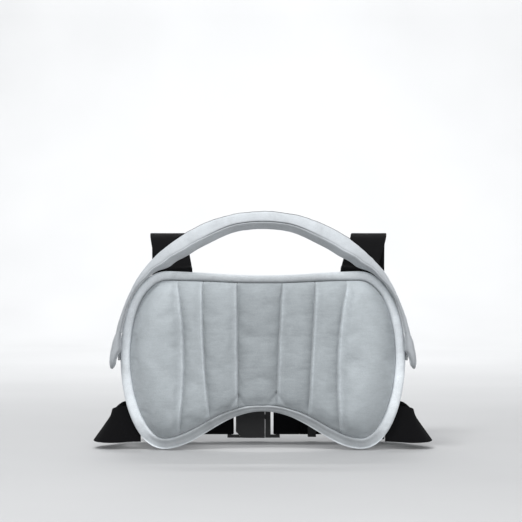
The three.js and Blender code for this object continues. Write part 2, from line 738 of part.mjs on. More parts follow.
function bucklePlug() {
  const { halfHeight, mouth } = BUCKLE;
  const start = mouth + GAP;
  const base = box(
    [start, -PLUG_BASE.halfThickness, -halfHeight],
    [PLUG_BASE.end, PLUG_BASE.halfThickness, halfHeight],
  );
  const pin = box(
    [GUIDE_PIN.tip, -GUIDE_PIN.halfThickness, -GUIDE_PIN.halfHeight],
    [start + 1, GUIDE_PIN.halfThickness, GUIDE_PIN.halfHeight],
  );
  const bars = webbingBar(PLUG_BASE.end - 1, PLUG_BAR.x - BAR_HALF, PLUG_BAR.x + BAR_HALF);
  return atBelt(join(base, pin, ...bars));
}

// One of the two springy arms whose barb snaps into the socket's side window.
function plugProng(sign) {
  return atBelt(plate(PRONG_OUTLINE.map(([x, z]) => [x, sign * z]), -BAR_HALF, BAR_HALF));
}

// ---------- assembly ----------

const object = new THREE.Group();

function add(name, geometry, material) {
  const mesh = new THREE.Mesh(geometry, material);
  mesh.name = name;
  object.add(mesh);
}

function addCushion() {
  const notch = (path) => strap(path, WEB_WIDTH + 2 * GAP, WEB_THICKNESS + 2 * GAP);
  const topNotches = TOP_STRAPS.map((place) => notch(sideways(topStrapPath(place))));
  const sideNotches = [-1, 1].map((sign) => notch(beltPath(sign, [])));
  add('back_panel', backPanel(), knit());
  add('edge_roll', edgeRoll([...topNotches, ...sideNotches]), plush(GREY_ROLL));
  CHANNELS.forEach(({ name }, index) => {
    add(`cover_${name}`, channelCover(index), plush(GREY_PANEL));
    add(`filling_${name}`, channelFilling(index), foam());
  });
  add('loop_patch_left', loopPatch(-1), hookTape());
  add('loop_patch_right', loopPatch(1), hookTape());
}

function addBand() {
  add('band_outer_cover', bandSweep(bandOuterSection), plush(GREY_BAND));
  add('band_inner_cover', bandSweep(bandInnerSection), plush(GREY_BAND));
  add('band_filling', bandSweep(bandFoamSection), foam());
  add('band_elastic', bandSweep(bandElasticSection, ELASTIC.start, ELASTIC.steps), webbing());
  for (const [side, sign] of [['left', -1], ['right', 1]]) {
    add(`band_tab_${side}`, bandTab(sign), plush(GREY_BAND));
    add(`hook_patch_${side}`, hookPatch(sign), hookTape());
  }
}

function addHarness() {
  for (const place of TOP_STRAPS) {
    add(`top_strap_${place.side}`, topStrap(place), webbing());
    add(`top_strap_tail_${place.side}`, topStrapTail(place), webbing());
    add(`strap_slider_${place.side}`, topSlider(place), plastic());
  }
  add('belt_left', beltLeft(), webbing());
  add('belt_right', beltRight(), webbing());
  add('belt_tail', beltTail(), webbing());
  add('belt_keeper', beltKeeper(), plastic());
}

function addBuckle() {
  add('buckle_socket', buckleSocket(), plastic());
  add('buckle_plug', bucklePlug(), plastic());
  add('plug_prong_upper', plugProng(1), plastic());
  add('plug_prong_lower', plugProng(-1), plastic());
}

addCushion();
addBand();
addHarness();
addBuckle();

export default object;
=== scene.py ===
"""Looks of a child-seat head support: plush cushion, half-ring head band and webbing harness.

Lengths inside the shape functions are millimetres in the part's own frame (+X right, +Y into the seat,
+Z up); new_piece() turns them into metres.
"""

import functools
import math
from collections import namedtuple

import bpy
import numpy as np
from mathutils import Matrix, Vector, noise


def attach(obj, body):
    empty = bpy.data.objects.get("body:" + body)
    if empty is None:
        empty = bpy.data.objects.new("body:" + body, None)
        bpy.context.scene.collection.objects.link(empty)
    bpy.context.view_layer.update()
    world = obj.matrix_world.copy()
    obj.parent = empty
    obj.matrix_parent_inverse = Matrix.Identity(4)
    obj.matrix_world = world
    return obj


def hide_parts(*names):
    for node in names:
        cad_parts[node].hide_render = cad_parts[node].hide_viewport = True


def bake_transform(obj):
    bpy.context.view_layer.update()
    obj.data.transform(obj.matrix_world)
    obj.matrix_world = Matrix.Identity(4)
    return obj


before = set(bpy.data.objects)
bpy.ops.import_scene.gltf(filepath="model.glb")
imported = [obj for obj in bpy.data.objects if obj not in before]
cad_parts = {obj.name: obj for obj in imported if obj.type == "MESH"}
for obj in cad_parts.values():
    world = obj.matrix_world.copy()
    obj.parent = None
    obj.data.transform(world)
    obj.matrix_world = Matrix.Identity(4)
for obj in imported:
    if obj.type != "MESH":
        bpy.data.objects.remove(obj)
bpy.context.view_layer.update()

MM = 0.001

# ---------- colours ----------

GREY_PANEL = (0.425, 0.46, 0.48)
# The roll is the same plush as the panels; its paler grey is painted light, to brighten it where the band
# shades it.
GREY_ROLL_PAINTED_PALER = (0.66, 0.695, 0.72)
# The band is the same plush as the panels; its paler grey is painted light on its crown.
GREY_BAND_PAINTED_PALER = (0.57, 0.6, 0.625)
GREY_KNIT = (0.24, 0.26, 0.28)
BLACK_WEBBING = (0.0045, 0.0045, 0.005)
BLACK_NYLON = (0.009, 0.009, 0.01)
THREAD_BLACK = (0.02, 0.02, 0.022)
THREAD_GREY = (0.3, 0.32, 0.34)
FLOOR_DARK = (0.5, 0.505, 0.51)
FLOOR_LIGHT = (0.53, 0.535, 0.54)

# Painted light in the plush's colour: painted shade on faces that look down and painted light on faces
# that look up, and on the roll and the band painted light or shade from the middle of the object outwards:
# distances in metres, then tones.
PAINTED_TOP_LIGHT = (0.72, 1.2)
ROLL_PAINTED_TOP_LIGHT = (0.45, 1.15)
# The roll is painted darker in the middle and paler towards its sides; the band is painted darker towards
# its ends.
ROLL_PAINTED_SIDE_LIGHT = (0.06, 0.138, 0.84, 1.52)
BAND_PAINTED_SIDE_SHADE = (0.08, 0.145, 1.0, 0.74)
# Tones of the painted shade beside each seam and of the painted highlight on each welt.
SEAM_SHADE_TONE, WELT_HIGHLIGHT_TONE = 0.72, 1.28

# ---------- sizes of the cushion ----------

# Right half of the outline as (x, z) corners of cubic curves, from the top centre to the bottom centre.
HALF_OUTLINE = [
    [(0, 91.2), (40, 91.2), (70, 95.5), (101, 95.5)],
    [(101, 95.5), (133, 95.5), (150, 45), (150, 5)],
    [(150, 5), (150, -45), (132, -91.5), (104, -91.5)],
    [(104, -91.5), (68, -91.5), (45, -52), (0, -52)],
]
ROLL_FRONT = -13
ROLL_BACK = -2.1
ROLL_STRAP_ROOM = 2.0
ROLL_SQUARENESS = 0.8
# Width of the roll by direction in degrees: full round the lower corners, thin under the waist.
ROLL_WIDTHS = {-90: 6.5, -64: 8, -45: 11.8, -25: 11.5, 0: 10.4, 40: 10, 62: 8.6, 90: 8}
SHOULDER = {"at": 25, "spread": 13, "rise": 1.2}  # the stuffed roll stands out a little below the corners
ROLL_UNDERSIDE = {"slope": 0.72, "seam": 0.75}  # along the bottom the roll turns down and shows its seam
PANEL_GAP = 0.15
EDGE_DEPTH = 10.8
PANEL_BACK = -2.2
BACK_STITCH_INSET = 6.2

# The sewn seams by their x at the top, the middle and the bottom, and by how deep they lie.
Seam = namedtuple("Seam", "top middle bottom depth")
SEAMS = [
    Seam(-87.5, -82, -88, 22),
    Seam(-63, -60.8, -53, 17.5),
    Seam(-26.8, -26, -26.2, 13.5),
    Seam(19.6, 15.8, 14.4, 13.5),
    Seam(54.4, 50.6, 46.2, 17.5),
    Seam(86, 77.8, 81.5, 22),
]
SEAM_REACH = 75
# high says which side of a channel stands fuller: 1 for the right, -1 for the left, 0 for neither.
Channel = namedtuple("Channel", "name front columns tone high")
# tone paints shade into each channel's grey: the middle channels, sunk between the wings, are painted
# darker, and the two halves a little unlike.
CHANNELS = [
    Channel("wing_left", 31, 24, 1.04, 1),
    Channel("outer_left", 25, 14, 1.0, 1),
    Channel("inner_left", 20.5, 16, 0.92, 1),
    Channel("center", 15.5, 18, 0.84, 0),
    Channel("inner_right", 20.5, 16, 0.88, -1),
    Channel("outer_right", 25, 14, 0.94, -1),
    Channel("wing_right", 31, 24, 1.06, -1),
]
ROWS = 66

CLOTH = {
    "quality": 7,
    "mass": 0.25,
    "tension_stiffness": 18,
    "compression_stiffness": 12,
    "shear_stiffness": 8,
    "bending_stiffness": 0.35,
    "air_damping": 2.5,
    "pin_stiffness": 1,
    "shrink_min": -0.022,
    "use_pressure": True,
    "uniform_pressure_force": 5.0,
}
CLOTH_FRAMES = 22
CLOTH_CAP = 9.0
WELT = {"away": 1.9, "spread": 1.0, "height": 1.15, "edge": 0.7, "flat": 4.5, "ease": 9.0}
SEAM_STEP = 4.6
SEAM_LIFT = -0.3
VALLEY = 16
# Spreads of the painted highlight on each welt and of the painted shade in the valley beside it.
WELT_HIGHLIGHT_AND_SEAM_SHADE_SPREAD = {"ridge": 1.2, "valley": 4.5}
TUCK = {"length": 13, "reach": 9.5, "spread": 1.2, "depth": 1.5}
STITCH = {"length": 2.6, "gap": 1.1, "radius": 0.32}

# ---------- sizes of the head band ----------

BAND_WIDTH = 26
BAND_CENTRE_Y = -18.5
BAND_CROWN = {"radius": 160, "thickness": 15, "lean": 15}
BAND_SIDE = {"radius": 157, "thickness": 4.5, "lean": 0}
BAND_SPREAD = (20, 48)
BAND_BLEND = (34, 47)
BAND_START = 11.5
BAND_FULL = {"extra": 3.2, "from": (47, 56), "to": (64, 80)}  # fuller either side of the crown
BAND_ROUNDNESS = 0.55
BAND_STEP = 2.75  # millimetres along the band for each degree
SNUG_GAP = -0.4
TAPE_START = 50
TAPE_WIDTH = 7

# Height, inner face, outer face and half width of an end tab, from its top to its tip.
TAB_STATIONS = [
    (37.5, 149.1, 152.2, 12.4),
    (31.6, 149.2, 153.9, 13),
    (25, 149.6, 156.4, 13),
    (20.6, 152.3, 157.8, 13),
    (10, 152.8, 159.9, 13),
    (3, 153.6, 160.6, 12),
    (-2, 154.4, 160.6, 9.5),
    (-5, 156.2, 160.0, 6),
    (-6.5, 157.4, 159.1, 2.5),
]
TAB_FRONT_INNER = 148.1
TAB_OVER_TAPE = 2.8

# ---------- sizes of the webbing ----------

WEB_WIDTH = 38
WEB_THICKNESS = 1.6
TAIL_THICKNESS = 1.2
WEB_EDGE = [(1, 0.45), (0.985, 0.85), (0.9, 1), (0.45, 0.92)]  # rounded selvage of a strap's section
SEAM_Y = -2.8
TOP_STRAPS = {"left": (-93.5, -103), "right": (101, 115)}
STRAP_ROOT_Z = 96.4
CREST = (52, 136)
REAR_Y = 85
BELT_Y = REAR_Y + 3.2
TAIL_Y = REAR_Y + 6.2
BELT_Z = -65.5
LOOP_JOIN_Z = -30
SLIDER_Z = 30
SLIDER_LAP = 22  # how far the strap's end reaches below the slider
SOCKET_BAR = (-37, 4.2)
PLUG_BAR = (16.6, 4.2)
BELT_JOIN_X = 40
BELT_TAIL_END_X = 84
UPRIGHT, SIDEWAYS = (0, 0, 1.0), (1.0, 0, 0)

# Distance from the middle, y, drop, and lean of the upper edge to the inside of the turn.
BELT_STATIONS = [
    (116, SEAM_Y, 0, 0),
    (134, SEAM_Y, 0, 0),
    (147, SEAM_Y, 0.6, 0),
    (158, 1.5, 2, 0.25),
    (166, 8.5, 3.5, 0.5),
    (169.5, 19, 4.2, 0.62),
    (168, 32, 3.8, 0.55),
    (163, 46, 3, 0.35),
    (157.5, 60, 2, 0.15),
    (153, 74, 1.2, 0.03),
    (146, 84.3, 0.6, 0),
    (137, BELT_Y, 0.2, 0),
    (128, BELT_Y, 0, 0),
]

# ---------- camera, light and floor ----------

CAMERA = {"place": (-0.002, -2.007, 0.1065), "lens": 130.8, "sensor": 36}
WORLD = {"colour": (0.97, 0.98, 1.0, 1), "strength": 0.5}
AIM = (0, 0, 0.04)
WALL_AIM = (0, 3.6, 0.6)
# Name, place, aim, size and power of each light.
LIGHTS = [
    ("key", (-0.5, -1.1, 1.5), AIM, (0.45, 0.45), 17),
    ("front", (0.25, -1.7, 0.55), AIM, (0.7, 0.7), 10.3),
    ("fill", (1.2, -1.2, 0.6), AIM, (0.8, 0.8), 3),
    ("back", (-0.5, 1.5, 1.0), AIM, (0.8, 0.8), 2),
    ("wall_wash", (0.0, 1.8, 2.6), WALL_AIM, (2.4, 0.5), 110),
]
FLOOR = {"z": -0.093, "reach": 5.0, "bend_from": 2.4, "bend": 0.9, "wall": 3.2}


def add_object(name, data):
    added = bpy.data.objects.new(name, data)
    bpy.context.scene.collection.objects.link(added)
    return added


def add_camera():
    data = bpy.data.cameras.new("camera")
    data.sensor_width = CAMERA["sensor"]
    data.lens = CAMERA["lens"]
    camera = add_object("camera", data)
    camera.location = CAMERA["place"]
    camera.rotation_euler = (math.radians(90), 0, 0)
    bpy.context.scene.camera = camera


def add_area_light(name, place, aim, size, power):
    data = bpy.data.lights.new(name, "AREA")
    data.shape = "RECTANGLE"
    data.size, data.size_y = size
    data.energy = power
    light = add_object(name, data)
    light.location = place
    light.rotation_euler = (Vector(aim) - Vector(place)).to_track_quat("-Z", "Y").to_euler()


def add_world():
    world = bpy.data.worlds.new("studio")
    world.use_nodes = True
    background = world.node_tree.nodes["Background"]
    background.inputs["Color"].default_value = WORLD["colour"]
    background.inputs["Strength"].default_value = WORLD["strength"]
    bpy.context.scene.world = world


def add_floor():
    """A floor that bends up into a wall behind the object."""
    start, radius, z = FLOOR["bend_from"], FLOOR["bend"], FLOOR["z"]
    profile = [(-FLOOR["reach"], z), (start, z)]
    for angle in np.linspace(0.1, 1.55, 14):
        profile.append((start + math.sin(angle) * radius, z + radius * (1 - math.cos(angle))))
    profile.append((profile[-1][0], FLOOR["wall"]))
    verts = [(x, y, z) for y, z in profile for x in (-FLOOR["reach"], FLOOR["reach"])]
    faces = [(2 * k, 2 * k + 1, 2 * k + 3, 2 * k + 2) for k in range(len(profile) - 1)]
    mesh = bpy.data.meshes.new("floor")
    mesh.from_pydata(verts, [], faces)
    mesh.polygons.foreach_set("use_smooth", [True] * len(faces))
    mesh.materials.append(floor_material())
    add_object("floor", mesh)


def add_studio():
    add_camera()
    add_world()
    for light in LIGHTS:
        add_area_light(*light)
    add_floor()
    bpy.context.scene.view_settings.view_transform = "Standard"


# ---------- materials ----------

class Nodes:
    """Short ways to add and join shader nodes."""

    def __init__(self, name):
        self.material = bpy.data.materials.new(name)
        self.material.use_nodes = True
        self.tree = self.material.node_tree
        self.shader = self.tree.nodes["Principled BSDF"]

    def add(self, kind, inputs, **settings):
        """A new node. Its inputs, by name or number, are joined to other sockets or set to values."""
        node = self.tree.nodes.new("ShaderNode" + kind)
        for key, value in settings.items():
            setattr(node, key, value)
        self.put(node, inputs)
        return node

    def put(self, node, inputs):
        for key, value in inputs.items():
            if isinstance(value, bpy.types.NodeSocket):
                self.tree.links.new(value, node.inputs[key])
            else:
                node.inputs[key].default_value = value

    def finish(self, colour, roughness, **others):
        """The material, with its colour and roughness and whatever else its shader needs."""
        self.put(self.shader, {"Base Color": colour, "Roughness": roughness})
        self.put(self.shader, {name.replace("_", " "): value for name, value in others.items()})
        return self.material

    def coordinates(self, kind="Object", scale=(1, 1, 1)):
        source = self.add("TexCoord", {}).outputs[kind]
        return self.add("Mapping", {"Vector": source, "Scale": scale}).outputs["Vector"]

    def noise(self, vector, scale, detail=3, roughness=0.55, distortion=0.0):
        inputs = {"Vector": vector, "Scale": scale, "Detail": detail, "Roughness": roughness}
        return self.add("TexNoise", inputs | {"Distortion": distortion}).outputs["Fac"]

    def wave(self, vector, direction, scale, distortion):
        inputs = {"Vector": vector, "Scale": scale, "Distortion": distortion}
        return self.add("TexWave", inputs, wave_type="BANDS", bands_direction=direction).outputs["Fac"]

    def ramp(self, value, stops):
        node = self.add("ValToRGB", {"Fac": value})
        elements = node.color_ramp.elements
        while len(elements) < len(stops):
            elements.new(0.5)
        for element, (place, colour) in zip(elements, stops.items()):
            element.position = place
            element.color = (*colour, 1)
        return node.outputs["Color"]

    def tones(self, value, colour, factors):
        """The colour made darker or paler, by a factor for each place of the value."""
        return self.ramp(value, {place: shade(colour, factor) for place, factor in factors.items()})

    def math(self, operation, first, second):
        return self.add("Math", {0: first, 1: second}, operation=operation).outputs[0]

    def span(self, value, low, high, start=0, end=1):
        """The value spread from low to high while it goes from start to end."""
        limits = {"From Min": start, "From Max": end, "To Min": low, "To Max": high}
        return self.add("MapRange", {"Value": value} | limits).outputs["Result"]

    def mix(self, factor, first, second, blend="MIX"):
        inputs = {0: factor, 6: first, 7: second}
        return self.add("Mix", inputs, data_type="RGBA", blend_type=blend).outputs[2]

    def times(self, first, second, factor=1.0):
        return self.mix(factor, first, second, "MULTIPLY")

    def axis(self, kind, name):
        return self.add("SeparateXYZ", {0: self.add("TexCoord", {}).outputs[kind]}).outputs[name]

    def facing_up(self, low, high):
        """A value that goes from low on faces that look down to high on faces that look up."""
        return self.span(self.axis("Normal", "Z"), low, high, start=-1)

    def aside(self, start, end, low, high):
        """A value that goes from low to high with the distance from the middle to either side."""
        return self.span(self.math("ABSOLUTE", self.axis("Object", "X"), 0), low, high, start, end)

    def welt_highlight_and_seam_shade(self, low, high):
        """A value from low in the painted shade beside a seam to high in the painted highlight on a welt."""
        return self.span(self.add("Attribute", {}, attribute_name="welt_highlight_and_seam_shade").outputs["Fac"], low, high, start=-1)

    def bump(self, height, strength, distance, normal=None):
        inputs = {"Height": height, "Strength": strength, "Distance": distance}
        return self.add("Bump", inputs | ({"Normal": normal} if normal else {})).outputs["Normal"]


def shade(colour, factor):
    return tuple(min(1, channel * factor) for channel in colour)


def plush_material(name, colour, streaks=0.35, top_light=PAINTED_TOP_LIGHT, outwards=None):
    """Plush with short fibres: soft patches where the fibres lie differently, fine fibres and a pale sheen.

    Light is painted into its colour: faces that look up are painted paler and faces that look down darker.
    On the edge roll and the band the colour is also painted paler or darker towards the sides; on the panels
    the welts get a painted highlight and the cloth beside the seams painted shade.
    """
    m = Nodes(name)
    place = m.coordinates()
    patches = m.noise(place, 42, detail=4, roughness=0.6, distortion=0.6)
    streak = m.noise(m.coordinates(scale=(90, 140, 520)), 1.0, detail=3, roughness=0.7)
    fibre = m.noise(place, 1500, detail=2, roughness=0.75)
    tuft = m.noise(place, 420, detail=2, roughness=0.6)
    base = m.tones(patches, colour, {0.25: 0.84, 0.5: 1, 0.75: 1.13})
    lined = m.mix(streaks, base, m.tones(streak, colour, {0.3: 0.86, 0.7: 1.12}))
    fibres = m.ramp(fibre, {0.25: (0.66, 0.67, 0.68), 0.7: (1, 1, 1)})
    # Painted light: the colour is darkened on faces that look down and lightened on faces that look up, then
    # painted lighter or darker towards the sides, or with the painted welt highlight and seam shade.
    painted_top_lit = m.times(m.times(lined, fibres, 0.6), m.facing_up(*top_light))
    painted_light_and_shade = m.times(painted_top_lit, m.aside(*outwards) if outwards else m.welt_highlight_and_seam_shade(SEAM_SHADE_TONE, WELT_HIGHLIGHT_TONE))
    relief = m.bump(streak, 0.25, 0.0008)
    relief = m.bump(tuft, 0.35, 0.0006, relief)
    relief = m.bump(fibre, 0.55, 0.0004, relief)
    return m.finish(painted_light_and_shade, m.span(patches, 0.82, 1.0), Normal=relief, Specular_IOR_Level=0.15,
                    Sheen_Weight=0.45, Sheen_Roughness=0.45, Sheen_Tint=(0.94, 0.97, 1, 1))


def webbing_material(name, colour):
    """Woven webbing: fine twill ribs along the strap; the UV map is in millimetres."""
    m = Nodes(name)
    weave = m.coordinates("UV")
    ribs = m.wave(weave, "X", 0.42, 0.4)
    picks = m.wave(weave, "DIAGONAL", 0.34, 0.6)
    fuzz = m.noise(m.coordinates(), 900, detail=3, roughness=0.7)
    height = m.math("ADD", m.math("MULTIPLY", ribs, 0.6), m.math("MULTIPLY", picks, 0.5))
    height = m.math("ADD", height, m.math("MULTIPLY", fuzz, 0.35))
    tone, relief = m.tones(height, colour, {0.2: 0.55, 0.9: 1.9}), m.bump(height, 0.6, 0.0005)
    return m.finish(tone, m.span(height, 0.62, 0.9), Normal=relief, Sheen_Weight=0.01, Sheen_Roughness=0.5,
                    Specular_IOR_Level=0.05)


def plastic_material(name, colour):
    """Injection-moulded nylon with a fine spark-eroded grain and slightly rubbed patches at random."""
    m = Nodes(name)
    place = m.coordinates()
    grain = m.bump(m.noise(place, 1900, detail=2, roughness=0.6), 0.25, 0.0002)
    cloud = m.noise(place, 90, detail=4)
    rubbed = m.tones(cloud, colour, {0.3: 0.8, 0.75: 1.5})
    return m.finish(rubbed, m.span(cloud, 0.38, 0.56), Normal=grain, Specular_IOR_Level=0.45)


def knit_material(name, colour):
    """Warp-knit backing cloth: rows of small wales with a faint heather."""
    m = Nodes(name)
    place = m.coordinates()
    height = m.math("MULTIPLY", m.wave(place, "X", 190, 1.2), m.wave(place, "Z", 240, 1.0))
    heather = m.noise(place, 700, detail=3, roughness=0.7)
    tone = m.tones(heather, colour, {0.3: 0.8, 0.7: 1.25})
    knitted = m.mix(0.4, tone, m.tones(height, colour, {0.1: 0.6, 0.7: 1.2}))
    return m.finish(knitted, m.span(heather, 0.8, 0.98), Normal=m.bump(height, 0.5, 0.0005),
                    Sheen_Weight=0.2, Sheen_Roughness=0.5, Specular_IOR_Level=0.15)


def fuzzy_tape_material(name, colour):
    """Hook-and-loop tape: a dense field of tiny loops."""
    m = Nodes(name)
    place = m.coordinates()
    loops = m.add("TexVoronoi", {"Vector": place, "Scale": 900}).outputs["Distance"]
    roughness = m.span(m.noise(place, 300), 0.75, 0.95)
    return m.finish(m.tones(loops, colour, {0.0: 1.6, 0.6: 0.5}), roughness,
                    Normal=m.bump(loops, 0.8, 0.0005), Specular_IOR_Level=0.2)


def thread_material(name, colour):
    """Twisted sewing thread."""
    m = Nodes(name)
    ply = m.noise(m.coordinates(), 2600, detail=2)
    return m.finish(m.tones(ply, colour, {0.3: 0.75, 0.7: 1.2}), m.span(ply, 0.5, 0.75),
                    Normal=m.bump(ply, 0.4, 0.0002), Sheen_Weight=0.2)


def floor_material():
    m = Nodes("pale_floor")
    soft = m.noise(m.coordinates(), 3, detail=2)
    return m.finish(m.ramp(soft, {0.3: FLOOR_DARK, 0.7: FLOOR_LIGHT}), m.span(soft, 0.75, 0.85))


# ---------- mesh helpers ----------

def new_piece(name, shape, material, body, uv=None, sewn=None, thread=None):
    """A mesh object from (points, faces) in millimetres, with stitches of thread given in the same way."""
    points, faces = joined([shape, sewn]) if sewn else shape
    mesh = bpy.data.meshes.new(name)
    faces = [list(map(int, face)) for face in faces]
    mesh.from_pydata((np.asarray(points, float) * MM).tolist(), [], faces)
    if uv is not None:
        layer = mesh.uv_layers.new(name="weave")
        for loop in mesh.loops:
            layer.data[loop.index].uv = uv[loop.vertex_index] if loop.vertex_index < len(uv) else (0, 0)
    mesh.polygons.foreach_set("use_smooth", [True] * len(mesh.polygons))
    mesh.materials.append(material)
    if sewn:
        own = len(shape[1])
        mesh.materials.append(thread)
        mesh.polygons.foreach_set("material_index", [int(index >= own) for index in range(len(faces))])
    mesh.update()
    piece = add_object(name, mesh)
    if body:
        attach(piece, body)
    return piece


def padded_piece(name, shape, material, body, nodes):
    """A stuffed piece with a smooth surface that stands for CAD nodes."""
    piece = new_piece(name, shape, material, body)
    modifier = piece.modifiers.new("smooth", "SUBSURF")
    modifier.levels = modifier.render_levels = 1
    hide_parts(*nodes)
    return piece


def lengths(path):
    """The distance along a path at each of its points."""
    return np.concatenate([[0], np.cumsum(np.linalg.norm(np.diff(path, axis=0), axis=1))])


def read_path(path, reach, at):
    """The points of a path at some distances along it."""
    return np.column_stack([np.interp(at, reach, path[:, k]) for k in range(path.shape[1])])


def joined(parts):
    """Several (points, faces) as one."""
    points, faces = [], []
    for part_points, part_faces in parts:
        faces += [tuple(index + len(points) for index in face) for face in part_faces]
        points += np.asarray(part_points, float).tolist()
    return np.array(points), faces


def stitches(path, normal):
    """A row of lockstitches along a path: (points, faces) of small rounded dashes that lie on the cloth."""
    path, normal = np.asarray(path, float), np.asarray(normal, float)
    reach = lengths(path)
    long, radius = STITCH["length"], STITCH["radius"]
    dashes = []
    for start in np.arange(0, reach[-1] - long, long + STITCH["gap"]):
        first, last = read_path(path, reach, [start, start + long])
        ahead = (last - first) / np.linalg.norm(last - first)
        side = np.cross(normal, ahead)
        rings = []
        for share in (0.0, 0.15, 0.5, 0.85, 1.0):
            swell = 0.35 + 0.65 * math.sin(math.pi * share)
            centre = first + (last - first) * share + normal * radius * (swell - 0.6)
            rings.append([centre + (side * math.cos(a) + normal * math.sin(a)) * radius * swell
                          for a in turns(6)])
        dashes.append(loft(rings))
    return joined(dashes)


def turns(steps):
    """Equal angles once round."""
    return 2 * math.pi * np.arange(steps) / steps


def box_stitch(corner, across, along, normal):
    """A sewn box with a cross in it, from a corner and two edge vectors."""
    corner, across, along = (np.array(v, float) for v in (corner, across, along))
    loop = [corner, corner + across, corner + across + along, corner + along, corner]
    rows = [loop, [corner, corner + across + along], [corner + across, corner + along]]
    return joined([stitches(row, normal) for row in rows])


def outward(points, faces):
    """The faces, turned over if the closed body would be inside out."""
    fans = [(face[0], *pair) for face in faces for pair in zip(face[1:-1], face[2:])]
    first, second, third = points[np.array(fans)].transpose(1, 0, 2)
    volume = np.sum(first * np.cross(second, third))
    return faces if volume > 0 else [tuple(reversed(face)) for face in faces]


def tube_faces(rings, count, closed):
    faces = []
    for ring in range(rings if closed else rings - 1):
        here, there = ring * count, ((ring + 1) % rings) * count
        for point in range(count):
            after = (point + 1) % count
            faces.append((here + point, here + after, there + after, there + point))
    if not closed:
        faces.append(tuple(reversed(range(count))))
        faces.append(tuple(range((rings - 1) * count, rings * count)))
    return faces


def loft(rings, closed=False):
    """Equal rings of points as one closed body: (points, faces)."""
    rings = np.asarray(rings, float)
    points = rings.reshape(-1, 3)
    return points, outward(points, tube_faces(len(rings), rings.shape[1], closed))


def wobble(point, scale, seed):
    """Smooth repeatable noise from -1 to 1 at a point in millimetres."""
    return noise.noise(Vector(point) / scale + Vector((seed * 7.31, seed * 3.17, seed * 5.53)))


def smoothstep(value, low, high):
    t = min(max((value - low) / (high - low), 0), 1)
    return t * t * (3 - 2 * t)


def bell(value, spread):
    """1 at 0, falling to nothing within about two spreads on either side."""
    return np.exp(-(value / spread) ** 2)


def signed_power(value, exponent):
    return math.copysign(abs(value) ** exponent, value)


def hermite(start, end, leaving, arriving, t):
    """The cubic curve between two points with a given tangent at each, read at t from 0 to 1."""
    change = end - start
    return (start + leaving * t + (3 * change - 2 * leaving - arriving) * t ** 2
            + (leaving + arriving - 2 * change) * t ** 3)


# ---------- the cushion's outline ----------

def cubic(corners, steps):
    t = np.linspace(0, 1, steps + 1)[:, None]
    a, b, c, d = (np.array(corner, float) for corner in corners)
    return (1 - t) ** 3 * a + 3 * t * (1 - t) ** 2 * b + 3 * t * t * (1 - t) * c + t ** 3 * d


def bearing(points):
    """Direction of outline points from the middle, in degrees above the horizontal, alike on both sides."""
    return np.degrees(np.arctan2(points[:, 1], np.abs(points[:, 0])))


def outline(share, extra=0.0, steps=100):
    """The closed outline as (x, z) points, clockwise from the top centre.

    It is moved inwards by a share of the roll's width and an extra distance.
    """
    half = np.vstack([cubic(corners, steps)[:-1] for corners in HALF_OUTLINE] + [[HALF_OUTLINE[-1][-1]]])
    mirrored = half[1:-1][::-1] * [-1, 1]
    whole = np.vstack([half, mirrored])
    along = np.roll(whole, -1, 0) - np.roll(whole, 1, 0)
    along /= np.linalg.norm(along, axis=1)[:, None]
    direction = bearing(whole)
    shoulder = SHOULDER["rise"] * bell(direction - SHOULDER["at"], SHOULDER["spread"])
    roll_width = np.interp(direction, list(ROLL_WIDTHS), list(ROLL_WIDTHS.values()))
    inset = roll_width * share + extra - shoulder
    return whole + np.column_stack([along[:, 1], -along[:, 0]]) * inset[:, None]


class Loop:
    """A closed outline that can be read by the distance along it."""

    def __init__(self, points):
        self.points = np.vstack([points, points[:1]])
        self.reach = lengths(self.points)
        self.length = self.reach[-1]

    def at(self, distance):
        return read_path(self.points, self.reach, np.mod(distance, self.length))

    def find(self, test):
        """The distance of the point that test scores highest."""
        return self.reach[int(np.argmax(test(self.points)))]

    def near_x(self, x, top):
        """The distance of the point nearest to x in the outline's upper or lower half."""
        half = 1 if top else -1
        return self.find(lambda p: -np.abs(p[:, 0] - x) - 1000.0 * (p[:, 1] * half < 0))


def seam_x(seam, z):
    t = np.clip(np.asarray(z, float) / SEAM_REACH, -1.1, 1.1)
    bend = (seam.top + seam.bottom) / 2 - seam.middle
    return seam.middle + (seam.top - seam.bottom) / 2 * t + bend * t * t


# ---------- the front cover ----------

def spread_columns(steps):
    """Places across a channel from 0 to 1, closer together beside the seams."""
    t = np.linspace(0, 1, steps + 1)
    return 0.4 * t + 0.6 * (1 - np.cos(np.pi * t)) / 2


def coons(bottom, top, left, right, u):
    """A grid of points between four sides. bottom and top run left to right, left and right upwards."""
    v = np.linspace(0, 1, len(left))[:, None, None]
    u = u[None, :, None]
    ruled = (1 - v) * bottom[None] + v * top[None] + (1 - u) * left[:, None] + u * right[:, None]
    low = (1 - u) * (1 - v) * bottom[0] + u * (1 - v) * bottom[-1]
    return ruled - (low + (1 - u) * v * top[0] + u * v * top[-1])


def arc(loop, start, end, shares):
    """Points along the outline from one distance to another, the short way round."""
    gap = (end - start + loop.length / 2) % loop.length - loop.length / 2
    return loop.at(start + shares * gap)


def seam_line(loop, seam):
    """A seam from the bottom of the outline to its top, with the two distances where it meets it."""
    ends = []
    for top, z in ((False, -70), (True, 80)):
        for _ in range(4):
            distance = loop.near_x(float(seam_x(seam, z)), top)
            z = float(loop.at([distance])[0, 1])
        ends.append((distance, z))
    (low_at, low), (high_at, high) = ends
    z = np.linspace(low, high, ROWS + 1)
    return np.column_stack([seam_x(seam, z), z]), low_at, high_at


def along_profile():
    """How full a channel is along its length: it flattens only at its ends."""
    v = np.linspace(0, 1, ROWS + 1)
    return (1 - np.abs(2 * v - 1) ** 6) ** 0.55


def crest(u, high):
    """Height across a channel, 0 at its seams; it stands steeper on its fuller side."""
    even = 1 - np.abs(2 * u - 1) ** 2.6
    if not high:
        return even
    v = u if high > 0 else 1 - u
    lopsided = (1 - (1 - v) ** 2.2) * (1 - v ** 16)
    return 0.3 * even + 0.7 * lopsided


